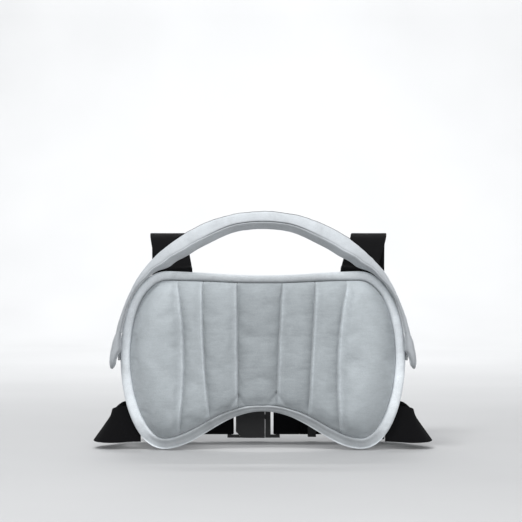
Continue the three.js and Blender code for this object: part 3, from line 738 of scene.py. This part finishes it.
def front_sheet():
    """The whole front as one grid: places (rows, columns, 2), depths, and the columns of the seams."""
    loop = Loop(outline(1, PANEL_GAP))
    seams = [seam_line(loop, seam) for seam in SEAMS]
    corner_top = loop.find(lambda p: p[:, 0] * 0.8 + p[:, 1])
    corner_low = loop.find(lambda p: p[:, 0] * 0.8 - p[:, 1])
    along = along_profile()[:, None]
    upwards = np.linspace(0, 1, ROWS + 1)
    grids, depths, seam_columns = [], [], [0]
    for index, channel in enumerate(CHANNELS):
        u = spread_columns(channel.columns)
        first = seams[index - 1] if index > 0 else None
        last = seams[index] if index < len(SEAMS) else None
        low_left, high_left = first[1:] if first else (-corner_low, -corner_top)
        low_right, high_right = last[1:] if last else (corner_low, corner_top)
        left = first[0] if first else arc(loop, low_left, high_left, upwards)
        right = last[0] if last else arc(loop, low_right, high_right, upwards)
        bottom, top = arc(loop, low_left, low_right, u), arc(loop, high_left, high_right, u)
        start = SEAMS[index - 1].depth if first else EDGE_DEPTH
        end = SEAMS[index].depth if last else EDGE_DEPTH
        rise = channel.front - (start + end) / 2
        across = (start + (end - start) * u + rise * crest(u, channel.high))[None]
        keep = slice(0 if index == 0 else 1, None)
        grids.append(coons(bottom, top, left, right, u)[:, keep])
        depths.append((EDGE_DEPTH + (across - EDGE_DEPTH) * along)[:, keep])
        seam_columns.append(seam_columns[-1] + channel.columns)
    return np.concatenate(grids, 1), np.concatenate(depths, 1), seam_columns


def grid_faces(rows, columns):
    corners = [row * columns + column for row in range(rows - 1) for column in range(columns - 1)]
    return [(a, a + 1, a + columns + 1, a + columns) for a in corners]


def inflate(points, faces, held):
    """Cloth simulation of a sheet held along its seams and pushed out by its filling."""
    mesh = bpy.data.meshes.new("cloth_sheet")
    mesh.from_pydata((points * MM).tolist(), [], faces)
    sheet = add_object("cloth_sheet", mesh)
    group = sheet.vertex_groups.new(name="held")
    group.add([int(i) for i in np.flatnonzero(held)], 1.0, "REPLACE")
    modifier = sheet.modifiers.new("cloth", "CLOTH")
    for name, value in CLOTH.items():
        setattr(modifier.settings, name, value)
    modifier.settings.vertex_group_mass = "held"
    modifier.settings.effector_weights.gravity = 0
    modifier.point_cache.frame_end = CLOTH_FRAMES + 1
    scene = bpy.context.scene
    for step in range(1, CLOTH_FRAMES + 1):
        scene.frame_set(step)
    graph = bpy.context.evaluated_depsgraph_get()
    moved = sheet.evaluated_get(graph).to_mesh()
    found = np.array([vertex.co for vertex in moved.vertices], float) / MM
    bpy.data.objects.remove(sheet)
    scene.frame_set(1)
    shift = found - points
    size = np.linalg.norm(shift, axis=1)[:, None]
    return points + shift * np.minimum(1, CLOTH_CAP / np.maximum(size, 1e-9))


def smoothed(values, reach):
    """Running mean along the first axis, with the ends repeated."""
    padded = np.concatenate([values[:1]] * reach + [values] + [values[-1:]] * reach)
    return np.mean([padded[k:k + len(values)] for k in range(2 * reach + 1)], axis=0)


def raise_welts(points, seam_columns):
    """Give each seam its step: the fuller channel ends in a topstitched welt and drops to the next one.

    Returns the painted light at each point, from -1 for painted shade beside a seam to 1 for a painted
    highlight on a welt.
    """
    along = along_profile()
    welt_highlight_and_seam_shade = np.zeros(points.shape[:2])
    for seam, column in enumerate(seam_columns[1:-1]):
        outer = -1 if seam < len(SEAMS) / 2 else 1
        away = (points[..., 0] - points[:, column, 0][:, None]) * outer
        levels = []
        for distances, depths in zip(away, points[..., 1]):
            order = np.argsort(distances)
            levels.append(np.interp(WELT["flat"], distances[order], depths[order]))
        level = (smoothed(np.array(levels), 5) + SEAM_LIFT)[:, None]
        low = level + SEAM_STEP * along[:, None]
        ridge = WELT["height"] * bell(away - WELT["away"], WELT["spread"]) * along[:, None]
        rise = np.clip(away / WELT["edge"], 0, 1)
        plateau = low + (level - low) * rise * rise * (3 - 2 * rise)
        own = np.clip((away - WELT["flat"]) / (WELT["ease"] - WELT["flat"]), 0, 1)
        fuller = plateau * (1 - own) + points[..., 1] * own - ridge
        reach = np.clip(-away / VALLEY, 0, 1)
        other = points[..., 1] + (low - points[:, column, 1][:, None]) * (1 - reach) ** 2
        inner = np.where(away > -VALLEY, other, points[..., 1])
        points[1:-1, :, 1] = np.where(away >= 0, fuller, inner)[1:-1]
        # Painted highlight on the welt and painted shade in the valley beside it, carried to the colour by a
        # mesh attribute.
        welt_highlight = bell(away - WELT["away"], WELT_HIGHLIGHT_AND_SEAM_SHADE_SPREAD["ridge"])
        seam_shade = np.exp(np.minimum(away, 0) / WELT_HIGHLIGHT_AND_SEAM_SHADE_SPREAD["valley"])
        near = np.abs(away) < VALLEY
        welt_highlight_and_seam_shade += np.where(away >= 0, welt_highlight, -seam_shade) * near * along[:, None]
    return np.clip(welt_highlight_and_seam_shade, -1, 1)


def press_tucks(points, seam_columns):
    """Two short folds that fan out from the lower end of each seam beside the middle channel."""
    for column in seam_columns[3:5]:
        foot = points[0, column, [0, 2]]
        top = foot + [0, TUCK["length"]]
        for side in (-1, 1):
            line = foot + [side * TUCK["reach"], 0] - top
            place = points[..., [0, 2]] - top
            share = np.clip(place @ line / (line @ line), 0, 1)
            away = np.linalg.norm(place - share[..., None] * line, axis=-1)
            points[..., 1] += TUCK["depth"] * bell(away, TUCK["spread"])
    edge = points[[0, -1], :, 1]
    points[[0, -1], :, 1] = np.minimum(edge, -EDGE_DEPTH + 0.4)


def front_points():
    """The inflated front of the cushion as a grid of points, the painted highlight and shade at its welts
    and seams, and the columns of its seams.
    """
    places, depths, seam_columns = front_sheet()
    rows, columns = depths.shape
    held = np.zeros((rows, columns), bool)
    held[[0, -1]] = True
    held[:, seam_columns] = True
    points = np.dstack([places[..., 0], -depths, places[..., 1]])
    for column in seam_columns[1:-1]:
        for row in range(2, rows - 2):
            points[row, column, 1] += 0.4 * wobble(points[row, column], 9, column)
            points[row, column, 0] += 0.35 * wobble(points[row, column], 13, column + 50)
    flat = points.reshape(-1, 3)
    flat = inflate(flat, grid_faces(rows, columns), held.ravel())
    found = flat.reshape(rows, columns, 3)
    found[..., 1] = 0.35 * found[..., 1] + 0.65 * smoothed(found[..., 1], 3)
    welt_highlight_and_seam_shade = raise_welts(found, seam_columns)
    press_tucks(found, seam_columns)
    return found, welt_highlight_and_seam_shade, seam_columns


def closed_panel(front):
    """A grid of front points closed with side walls and a flat back: (points, faces), rim vertex pairs."""
    rows, columns = front.shape[:2]
    back = front.copy()
    back[..., 1] = PANEL_BACK
    points = np.vstack([front.reshape(-1, 3), back.reshape(-1, 3)])
    shift = rows * columns
    faces = grid_faces(rows, columns)
    faces += [tuple(corner + shift for corner in reversed(face)) for face in faces]
    index = np.arange(shift).reshape(rows, columns)
    ring = [*index[0], *index[1:, -1], *index[-1, -2::-1], *index[-2:0:-1, 0]]
    rim = list(zip(ring, ring[1:] + ring[:1]))
    faces += [(there, here, here + shift, there + shift) for here, there in rim]
    return (points, outward(points, faces)), rim


def add_front_panels():
    front, welt_highlight_and_seam_shade, seam_columns = front_points()
    for index, channel in enumerate(CHANNELS):
        name = channel.name
        # channel.tone is painted shade: darker towards the sunken middle.
        material = plush_material(f"grey_plush_{name}", shade(GREY_PANEL, channel.tone))
        own = slice(seam_columns[index], seam_columns[index + 1] + 1)
        shape, rim = closed_panel(front[:, own])
        nodes = (f"cover_{name}", f"filling_{name}")
        piece = padded_piece(f"plush_{name}", shape, material, "cushion", nodes)
        crease_edges(piece.data, rim)
        # The painted welt highlight and seam shade go to the material as a point attribute; the back points
        # get none.
        values = np.concatenate([welt_highlight_and_seam_shade[:, own].ravel(), np.zeros(welt_highlight_and_seam_shade[:, own].size)])
        piece.data.attributes.new("welt_highlight_and_seam_shade", "FLOAT", "POINT").data.foreach_set("value", values)


def crease_edges(mesh, pairs):
    wanted = {tuple(sorted(pair)) for pair in pairs}
    crease = mesh.attributes.new("crease_edge", "FLOAT", "EDGE")
    values = [1.0 if tuple(sorted(edge.vertices)) in wanted else 0.0 for edge in mesh.edges]
    crease.data.foreach_set("value", values)


# ---------- the edge roll and the back cloth ----------

def strap_room(point):
    """How far the roll's back has to stand off where webbing is sewn in: 0 away from it, 1 at it."""
    x, z = point
    if z > 60:
        return max(1 - smoothstep(abs(x - root), 20, 27) for root, _ in TOP_STRAPS.values())
    return (1 - smoothstep(abs(z - BELT_Z), 20, 27)) * (1.0 if abs(x) > 110 else 0.0)


def roll_ring(x, z, half, out_x, out_z):
    """One section of the roll, with small puckers in its front; it turns down where it faces down."""
    back = ROLL_BACK - ROLL_STRAP_ROOM * strap_room((x, z))
    middle_y, half_y = (back + ROLL_FRONT) / 2, (back - ROLL_FRONT) / 2
    lump = 0.5 * wobble((x, 0, z), 26, 3) + 0.35 * wobble((x, 0, z), 8, 4)
    under = smoothstep(-out_z, 0.35, 0.9)
    ring = []
    for angle in turns(24):
        pucker = 0.3 * wobble((x, 22 * math.cos(angle), z), 3.4, 5)
        across = half * signed_power(math.cos(angle), ROLL_SQUARENESS)
        deep = signed_power(math.sin(angle), ROLL_SQUARENESS)
        grow = 1 + (lump + pucker) / 6 if deep < 0 else 1
        slope = ROLL_UNDERSIDE["slope"] * (across + half) * max(-deep, 0)
        seam = ROLL_UNDERSIDE["seam"] * bell(across, 1.1) * (deep < 0)
        depth = middle_y + half_y * deep * grow + under * (slope + seam)
        ring.append((x + out_x * across, depth, z + out_z * across))
    return ring


def add_edge_roll(material, stations=520):
    middle, edge = outline(0.5), outline(0)
    gap = np.linalg.norm(edge - middle, axis=1)
    values = np.column_stack([gap + 0.1, (edge - middle) / gap[:, None]])
    values = np.vstack([values, values[:1]])
    loop = Loop(middle)
    at = loop.length * np.arange(stations) / stations
    sections = np.hstack([loop.at(at), read_path(values, loop.reach, at)])
    shape = loft([roll_ring(*section) for section in sections], closed=True)
    padded_piece("plush_edge_roll", shape, material, "cushion", ["edge_roll"])


def add_back_cloth(material, thread):
    """Backing cloth with its edge turned in and a row of stitches that presses a groove into it."""
    turned_in = [(0.7, -1.5), (0.7, -0.35), (2.2, 0), (5, -0.05)]
    groove = [(BACK_STITCH_INSET, -0.5), (7.4, -0.05), (11, 0)]
    rings = []
    for inset, y in turned_in + groove:
        ring = outline(0, inset, 40)
        rings.append(np.column_stack([ring[:, 0], np.full(len(ring), y), ring[:, 1]]))
    flat = rings[-1]
    for share in (0.8, 0.6, 0.4, 0.2, 0.03):
        small = flat.copy()
        small[:, 0] *= share + (1 - share) * 0.35
        small[:, 2] = small[:, 2] * share + 20 * (1 - share)
        rings.append(small)
    path = Loop(outline(0, BACK_STITCH_INSET, 40))
    places = [(x, -0.3, z) for x, z in path.at(np.arange(0, path.length, 0.5))]
    sewn = stitches(places, (0, 1, 0))
    piece = new_piece("back_cloth", loft(rings), material, "cushion", None, sewn, thread)
    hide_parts("back_panel")


# ---------- the head band ----------

def above_side(angle):
    """How far an angle of the arch is above its nearer end, in degrees."""
    return min(angle, 180 - angle)


def band_frame(angle):
    """Middle of the band's section at an angle, its two directions and its thickness."""
    above = above_side(angle)
    share, spread = smoothstep(above, *BAND_BLEND), smoothstep(above, *BAND_SPREAD)
    thickness = BAND_SIDE["thickness"] + (BAND_CROWN["thickness"] - BAND_SIDE["thickness"]) * share
    lean = math.radians(BAND_SIDE["lean"] + (BAND_CROWN["lean"] - BAND_SIDE["lean"]) * share)
    outer = BAND_SIDE["radius"] + (BAND_CROWN["radius"] - BAND_SIDE["radius"]) * spread
    thickness += snug(angle, thickness, outer)
    fuller = smoothstep(above, *BAND_FULL["from"]) * (1 - smoothstep(above, *BAND_FULL["to"]))
    thickness += BAND_FULL["extra"] * fuller
    reach = BAND_WIDTH / 2 * math.sin(lean) + thickness / 2 * math.cos(lean)
    turn = math.radians(angle)
    out = np.array([math.cos(turn), 0, math.sin(turn)])
    back = np.array([0.0, 1.0, 0.0])
    centre = out * (outer - reach) + [0, BAND_CENTRE_Y, 0]
    widthwise = back * math.cos(lean) - out * math.sin(lean)
    upwards = out * math.cos(lean) + back * math.sin(lean)
    return centre, widthwise, upwards, thickness


@functools.cache
def outline_by_angle():
    """The cushion's outline as angles in rising order and the distances from the middle at them."""
    points = outline(0)
    directions = np.degrees(np.arctan2(points[:, 1], points[:, 0]))
    order = np.argsort(directions)
    return directions[order], np.hypot(points[:, 0], points[:, 1])[order]


def snug(angle, thickness, outer):
    """Extra thickness towards the cushion beside its upper corners, where the band lies close to it."""
    room = outer - thickness - float(np.interp(angle, *outline_by_angle())) - SNUG_GAP
    return room * (1 - smoothstep(above_side(angle), 35, 42))


def band_rings(section, start, steps=220):
    rings = []
    for step in range(steps + 1):
        angle = start + (180 - 2 * start) * step / steps
        centre, widthwise, upwards, thickness = band_frame(angle)
        rings.append([centre + widthwise * along + upwards * up for along, up in section(thickness, angle)])
    return rings


def band_crown(x, thickness):
    """Height of the plush over the middle of the strip, x from -1 at its front edge to 1."""
    low = -thickness / 2 + min(2.6, 0.36 * thickness)
    return low + (thickness / 2 - low) * math.sqrt(max(1 - x * x, 0)) ** BAND_ROUNDNESS


def band_lump(angle, x, thickness):
    """How far the gathered cover stands up or sinks at x across the strip."""
    y = math.sqrt(max(1 - x * x, 0))
    pucker = wobble((angle * BAND_STEP, x * 2.45, y * 2.45), 4.2, 11)
    swell = wobble((angle * BAND_STEP, x * 2, 0), 17, 12)
    return y * (0.42 * pucker + 0.5 * swell) * min(1, thickness / 10)


def band_outer_section(thickness, angle):
    """A stuffed tube with a flat underside, full and round in front and puckered by its gathered cover."""
    low = band_crown(1, thickness)
    outer = []
    for step in range(25):
        x = -math.cos(math.pi * step / 24)
        along = BAND_WIDTH / 2 * signed_power(x, BAND_ROUNDNESS)
        outer.append((along, band_crown(x, thickness) + band_lump(angle, x, thickness)))
    return outer + [(along * 0.86, low + 0.15 + (up - low) * 0.7) for along, up in reversed(outer)]


def band_inner_section(thickness, angle):
    """The lining strip: flat in the middle and gathered in small folds, with its edges turned up."""
    crown = smoothstep(above_side(angle), 55, 78)
    half, bottom = BAND_WIDTH / 2 - 0.1 - 0.5 * crown, -thickness / 2
    depth = min(3.1 - 0.9 * crown, 0.5 * thickness)
    ring = []
    for step in range(17):
        x = -1 + step / 8
        gather = wobble((angle * BAND_STEP, x * 3, 2), 3.4, 21) * (0.3 + 1.5 * crown)
        swell = wobble((angle * BAND_STEP, x * 2, 9), 11, 22) * 0.35
        turned_up = depth * 0.45 * abs(x) ** 6
        ring.append((half * x, bottom + 0.35 + turned_up + (gather + swell) * 0.5 * (1 - x * x)))
    return ring + [(along, bottom + depth) for along, _ in reversed(ring)]


def band_tape_section(thickness, angle):
    """Elastic tape sewn on the plush, which it follows, not quite straight."""
    start = -BAND_WIDTH / 2 + thickness * 0.28 + 0.9 + 0.8 * wobble((angle * BAND_STEP, 0, 40), 30, 61)
    top = []
    for step in range(8):
        along = start + TAPE_WIDTH * step / 7
        x = signed_power(2 * along / BAND_WIDTH, 1 / BAND_ROUNDNESS)
        edge = 0.25 if step in (0, 7) else 0
        top.append((along, band_crown(x, thickness) + band_lump(angle, x, thickness) + 0.5 - edge))
    return top + [(along, up - 1.3) for along, up in reversed(top)]


def add_band(material, tape):
    outer = loft(band_rings(band_outer_section, BAND_START))
    nodes = ("band_outer_cover", "band_filling")
    padded_piece("band_plush_outer", outer, material, "head_band", nodes)
    lining = loft(band_rings(band_inner_section, BAND_START))
    padded_piece("band_plush_lining", lining, material, "head_band", ["band_inner_cover"])
    rings = np.asarray(band_rings(band_tape_section, TAPE_START, 140))
    uv = [(across, along) for along in lengths(rings[:, 0]) for across in lengths(rings[0])]
    piece = new_piece("band_elastic_tape", loft(rings), tape, "head_band", uv=uv)
    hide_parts("band_elastic")


def tab_ring(sign, z, inner, outer, half):
    """One level of an end tab. Its front half is padded inwards, past the tape patches behind it."""
    over_tape = TAB_OVER_TAPE * (1 - smoothstep(z, 9, 13))
    front = min(TAB_FRONT_INNER + over_tape + max(9 - z, 0) * 0.42, inner)
    ring = []
    for angle in turns(32):
        c, s = math.cos(angle), math.sin(angle)
        y = BAND_CENTRE_Y + half * signed_power(c, 0.75)
        near = inner + (front - inner) * (1 - smoothstep(y, -16, -13.6))
        across = (outer - near) / 2 * signed_power(s, 0.7)
        across += 0.22 * wobble((c * 13, z, 3 + sign * 4), 6, 31) * abs(s)
        seam = 0.55 * bell(abs(c) - 0.84, 0.05) * math.copysign(min(1, (outer - inner) / 5), s)
        ring.append((sign * ((outer + near) / 2 + across - seam * abs(s)), y, z))
    return ring


def smooth_rows(stations, steps):
    """Rows of numbers smoothly interpolated, closer together towards the last row."""
    rows = np.array(stations, float)
    found = []
    for place in np.linspace(0, 1, steps + 1) ** 0.8 * (len(rows) - 1):
        k = min(int(place), len(rows) - 2)
        leaving = (rows[k + 1] - rows[max(k - 1, 0)]) / 2
        arriving = (rows[min(k + 2, len(rows) - 1)] - rows[k]) / 2
        found.append(hermite(rows[k], rows[k + 1], leaving, arriving, place - k))
    return found


def add_tabs(material):
    stations = smooth_rows(TAB_STATIONS, 44)
    for side, sign in (("left", -1), ("right", 1)):
        shape = loft([tab_ring(sign, *station) for station in stations])
        nodes = [f"band_tab_{side}"]
        padded_piece(f"band_tab_plush_{side}", shape, material, "head_band", nodes)


# ---------- webbing ----------

def curve_through(control, steps):
    """Centripetal Catmull-Rom curve through the points, read at equal distances."""
    p = np.array(control, float)
    p = np.vstack([2 * p[0] - p[1], p, 2 * p[-1] - p[-2]])
    dense = []
    for k in range(1, len(p) - 2):
        p0, p1, p2, p3 = p[k - 1:k + 3]
        d0, d1, d2 = (max(np.linalg.norm(b - a) ** 0.5, 1e-4) for a, b in ((p0, p1), (p1, p2), (p2, p3)))
        leaving = ((p1 - p0) / d0 - (p2 - p0) / (d0 + d1) + (p2 - p1) / d1) * d1
        arriving = ((p2 - p1) / d1 - (p3 - p1) / (d1 + d2) + (p3 - p2) / d2) * d1
        dense += [hermite(p1, p2, leaving, arriving, t) for t in np.linspace(0, 1, 40, endpoint=False)]
    dense = np.array(dense + [p[-2]])
    reach = lengths(dense)
    return read_path(dense, reach, np.linspace(0, reach[-1], steps + 1))


def webbing_shape(path, across, thickness):
    """A strap of rounded flat sections along a path: (points, faces), and its UV places in millimetres."""
    path, across = np.asarray(path, float), np.asarray(across, float)
    lower = [(-w, -n) for w, n in WEB_EDGE] + [(0, -0.88)] + [(w, -n) for w, n in reversed(WEB_EDGE)]
    profile = lower + [(-w, -n) for w, n in lower]
    rings, uv = [], []
    for index, (centre, reach) in enumerate(zip(path, lengths(path))):
        ahead = path[min(index + 1, len(path) - 1)] - path[max(index - 1, 0)]
        ahead /= np.linalg.norm(ahead)
        normal = np.cross(ahead, across[index])
        normal /= np.linalg.norm(normal)
        wide = np.cross(normal, ahead)
        rings.append([centre + wide * w * WEB_WIDTH / 2 + normal * n * thickness / 2 for w, n in profile])
        uv += [(w * WEB_WIDTH / 2, reach) for w, n in profile]
    return loft(rings), uv


def add_webbing(name, node, path, across, materials, body=None, thickness=WEB_THICKNESS, sewn=None):
    """A strap in the webbing material, with the stitches sewn into it in the thread material."""
    if len(across) != len(path):
        across = np.tile(across, (len(path), 1))
    shape, uv = webbing_shape(path, across, thickness)
    webbing, thread = materials
    piece = new_piece(name, shape, webbing, body, uv=uv, sewn=sewn, thread=thread)
    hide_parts(node)
    return piece


def half_turn(x, centre_y, centre_z, radius, up, steps=12):
    angles = np.linspace(0, math.pi, steps + 1)
    z = centre_z + (radius if up else -radius) * np.sin(angles)
    return np.column_stack([np.full(steps + 1, float(x)), centre_y - radius * np.cos(angles), z])


def top_strap_path(root_x, top_x):
    """From the edge seam over the headrest, down behind it, round the belt and up to where it is sewn."""
    def leaning(y, z):
        share = max((z - STRAP_ROOT_Z) / (CREST[1] - STRAP_ROOT_Z), 0)
        return root_x + (top_x - root_x) * share, y, z

    climb = [(SEAM_Y, 84.5), (SEAM_Y, 91.5), (SEAM_Y, STRAP_ROOT_Z), (-0.6, 98.6)]
    climb += [(5, 101.3), (12, 107), (22, 119), (36, 132), CREST]
    fall = [(top_x, 72, 133), (top_x, 82, 122), (top_x, REAR_Y, 104), (top_x, REAR_Y, 80)]
    over = curve_through([leaning(*place) for place in climb] + fall, 120)
    radius = (TAIL_Y - REAR_Y) / 2
    turn = half_turn(top_x, REAR_Y + radius, BELT_Z - WEB_WIDTH / 2 - 2, radius, up=False)
    down = np.linspace(over[-1], turn[0], 60)[1:-1]
    up = np.linspace(turn[-1], (top_x, TAIL_Y, LOOP_JOIN_Z), 24)[1:]
    return np.vstack([over, down, turn, up])


def add_top_straps(materials):
    for side, (root_x, top_x) in TOP_STRAPS.items():
        path = top_strap_path(root_x, top_x)
        add_webbing(f"upper_strap_{side}", f"top_strap_{side}", path, SIDEWAYS, materials, "cushion")
        inner, low = REAR_Y + 1.9, SLIDER_Z - SLIDER_LAP
        radius = (TAIL_Y - inner) / 2
        turn = half_turn(top_x, inner + radius, SLIDER_Z - 8.8, radius, up=True)
        down = np.linspace(turn[-1], (top_x, TAIL_Y, LOOP_JOIN_Z + 0.3), 40)[1:]
        path = np.vstack([[(top_x, inner, low)], turn, down])
        face_y = TAIL_Y + TAIL_THICKNESS / 2
        sewn = box_stitch((top_x - 15, face_y, low), (30, 0, 0), (0, 0, 11), (0, 1, 0))
        tail = add_webbing(f"upper_strap_return_{side}", f"top_strap_tail_{side}", path, SIDEWAYS, materials,
                           thickness=TAIL_THICKNESS, sewn=sewn)
        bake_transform(tail)


def belt_path(sign, ending):
    """A belt's middle line from the edge seam to its end, and the direction across it at each point."""
    rows = [(sign * x, y, BELT_Z - drop) for x, y, drop, _ in BELT_STATIONS]
    smooth = curve_through(rows, 130)
    along = lengths(smooth)
    nearest = [int(np.argmin(np.linalg.norm(smooth - row, axis=1))) for row in rows]
    leans = np.interp(along, along[nearest], [station[3] for station in BELT_STATIONS])
    ahead = np.gradient(smooth, axis=0)
    inside = np.column_stack([-ahead[:, 1], ahead[:, 0], np.zeros(len(ahead))]) * sign
    inside /= np.linalg.norm(inside, axis=1)[:, None]
    across = inside * np.sin(leans)[:, None] + np.outer(np.cos(leans), UPRIGHT)
    spots = [smooth[-1]]
    for spot in ending:
        steps = max(2, int(abs(spot[0] - spots[-1][0]) / 4))
        spots += list(np.linspace(spots[-1], spot, steps + 1)[1:])
    path = np.vstack([smooth[:-1], spots])
    across = np.vstack([across, np.tile(UPRIGHT, (len(path) - len(across), 1))])
    root = int(np.argmax(np.abs(path[:, 0]) > 128))  # its first point inside the edge seam
    return path[root:], across[root:]


def bar_wrap(bar, sign, steps=12):
    x, radius = bar
    angles = np.linspace(0, math.pi, steps + 1)
    return [(x - sign * radius * math.sin(a), BELT_Y - radius * math.cos(a), BELT_Z) for a in angles]


def add_belts(materials):
    front, rear = BELT_Y - SOCKET_BAR[1], BELT_Y + SOCKET_BAR[1]
    ending = [(-80, BELT_Y, BELT_Z), (-64, front, BELT_Z), (-50, front, BELT_Z)]
    ending += bar_wrap(SOCKET_BAR, -1) + [(-62, rear, BELT_Z)]
    face_y = rear + WEB_THICKNESS / 2
    sewn = box_stitch((-60, face_y, BELT_Z - 15), (14, 0, 0), (0, 0, 30), (0, 1, 0))
    add_webbing("side_belt_left", "belt_left", *belt_path(-1, ending), materials, "cushion", sewn=sewn)
    front, rear = BELT_Y - PLUG_BAR[1], BELT_Y + PLUG_BAR[1]
    ending = [(88, BELT_Y, BELT_Z), (75, front, BELT_Z), (BELT_JOIN_X + 0.3, front, BELT_Z)]
    right = add_webbing("side_belt_right", "belt_right", *belt_path(1, ending), materials)
    wrap = bar_wrap(PLUG_BAR, 1)
    run = np.linspace((BELT_JOIN_X, front, BELT_Z), wrap[0], 8)[:-1]
    back = np.linspace(wrap[-1], (BELT_TAIL_END_X, rear, BELT_Z), 20)[1:]
    hem = [(BELT_TAIL_END_X - 4, rear + WEB_THICKNESS / 2, BELT_Z + z) for z in np.linspace(-17, 17, 20)]
    tail = add_webbing("belt_return", "belt_tail", np.vstack([run, wrap, back]), UPRIGHT, materials,
                       sewn=stitches(hem, (0, 1, 0)))
    for piece in (right, tail):
        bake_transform(piece)


# ---------- hardware that keeps its CAD shape ----------

def dress_cad_node(name, material, bevel):
    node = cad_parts[name]
    node.data.materials.clear()
    node.data.materials.append(material)
    modifier = node.modifiers.new("edges", "BEVEL")
    modifier.width = bevel * MM
    modifier.segments = 2
    modifier.limit_method = "ANGLE"
    modifier.angle_limit = math.radians(40)
    modifier.harden_normals = False


def dress_hardware():
    plastic = plastic_material("satin_black_nylon", BLACK_NYLON)
    add_grip_ribs(plastic)
    tape = fuzzy_tape_material("hook_and_loop_tape", shade(GREY_BAND_PAINTED_PALER, 0.8))
    for name in ("buckle_socket", "buckle_plug", "plug_prong_upper", "plug_prong_lower", "belt_keeper"):
        dress_cad_node(name, plastic, 0.6)
    for side in ("left", "right"):
        dress_cad_node(f"strap_slider_{side}", plastic, 0.7)
        dress_cad_node(f"hook_patch_{side}", tape, 0.15)
        dress_cad_node(f"loop_patch_{side}", tape, 0.15)


def add_grip_ribs(material):
    """Moulded ribs on the back of the socket, where the fingers hold it."""
    radius, half, face_y = 0.75, 13, BELT_Y + 5
    ribs = []
    for x in (-24, -21.5, -3, -0.5):
        rings = []
        for share in np.linspace(-1, 1, 9):
            swell = max(0.25, (1 - abs(share) ** 6)) * radius
            z = BELT_Z + half * share
            rings.append([(x + radius * math.cos(a), face_y + swell * max(-0.4, math.sin(a)), z)
                          for a in turns(10)])
        ribs.append(loft(rings))
    new_piece("buckle_grip_ribs", joined(ribs), material, "cushion")


# ---------- assembly ----------

def build():
    add_studio()
    add_front_panels()
    # The roll's grey is painted paler than the panels' plush, with painted light on its upper faces and
    # towards its sides.
    add_edge_roll(plush_material("roll_plush_painted_paler", GREY_ROLL_PAINTED_PALER, 0.15, ROLL_PAINTED_TOP_LIGHT, ROLL_PAINTED_SIDE_LIGHT))
    add_back_cloth(knit_material("backing_cloth", GREY_KNIT), thread_material("grey_thread", THREAD_GREY))
    # The band's grey is painted paler than the panels' plush, and painted darker towards its ends.
    band_plush = plush_material("band_plush", GREY_BAND_PAINTED_PALER, 0.15, outwards=BAND_PAINTED_SIDE_SHADE)
    webbing = webbing_material("black_webbing", BLACK_WEBBING)
    add_band(band_plush, webbing)
    add_tabs(band_plush)
    sewn_webbing = (webbing, thread_material("black_thread", THREAD_BLACK))
    add_top_straps(sewn_webbing)
    add_belts(sewn_webbing)
    dress_hardware()


build()
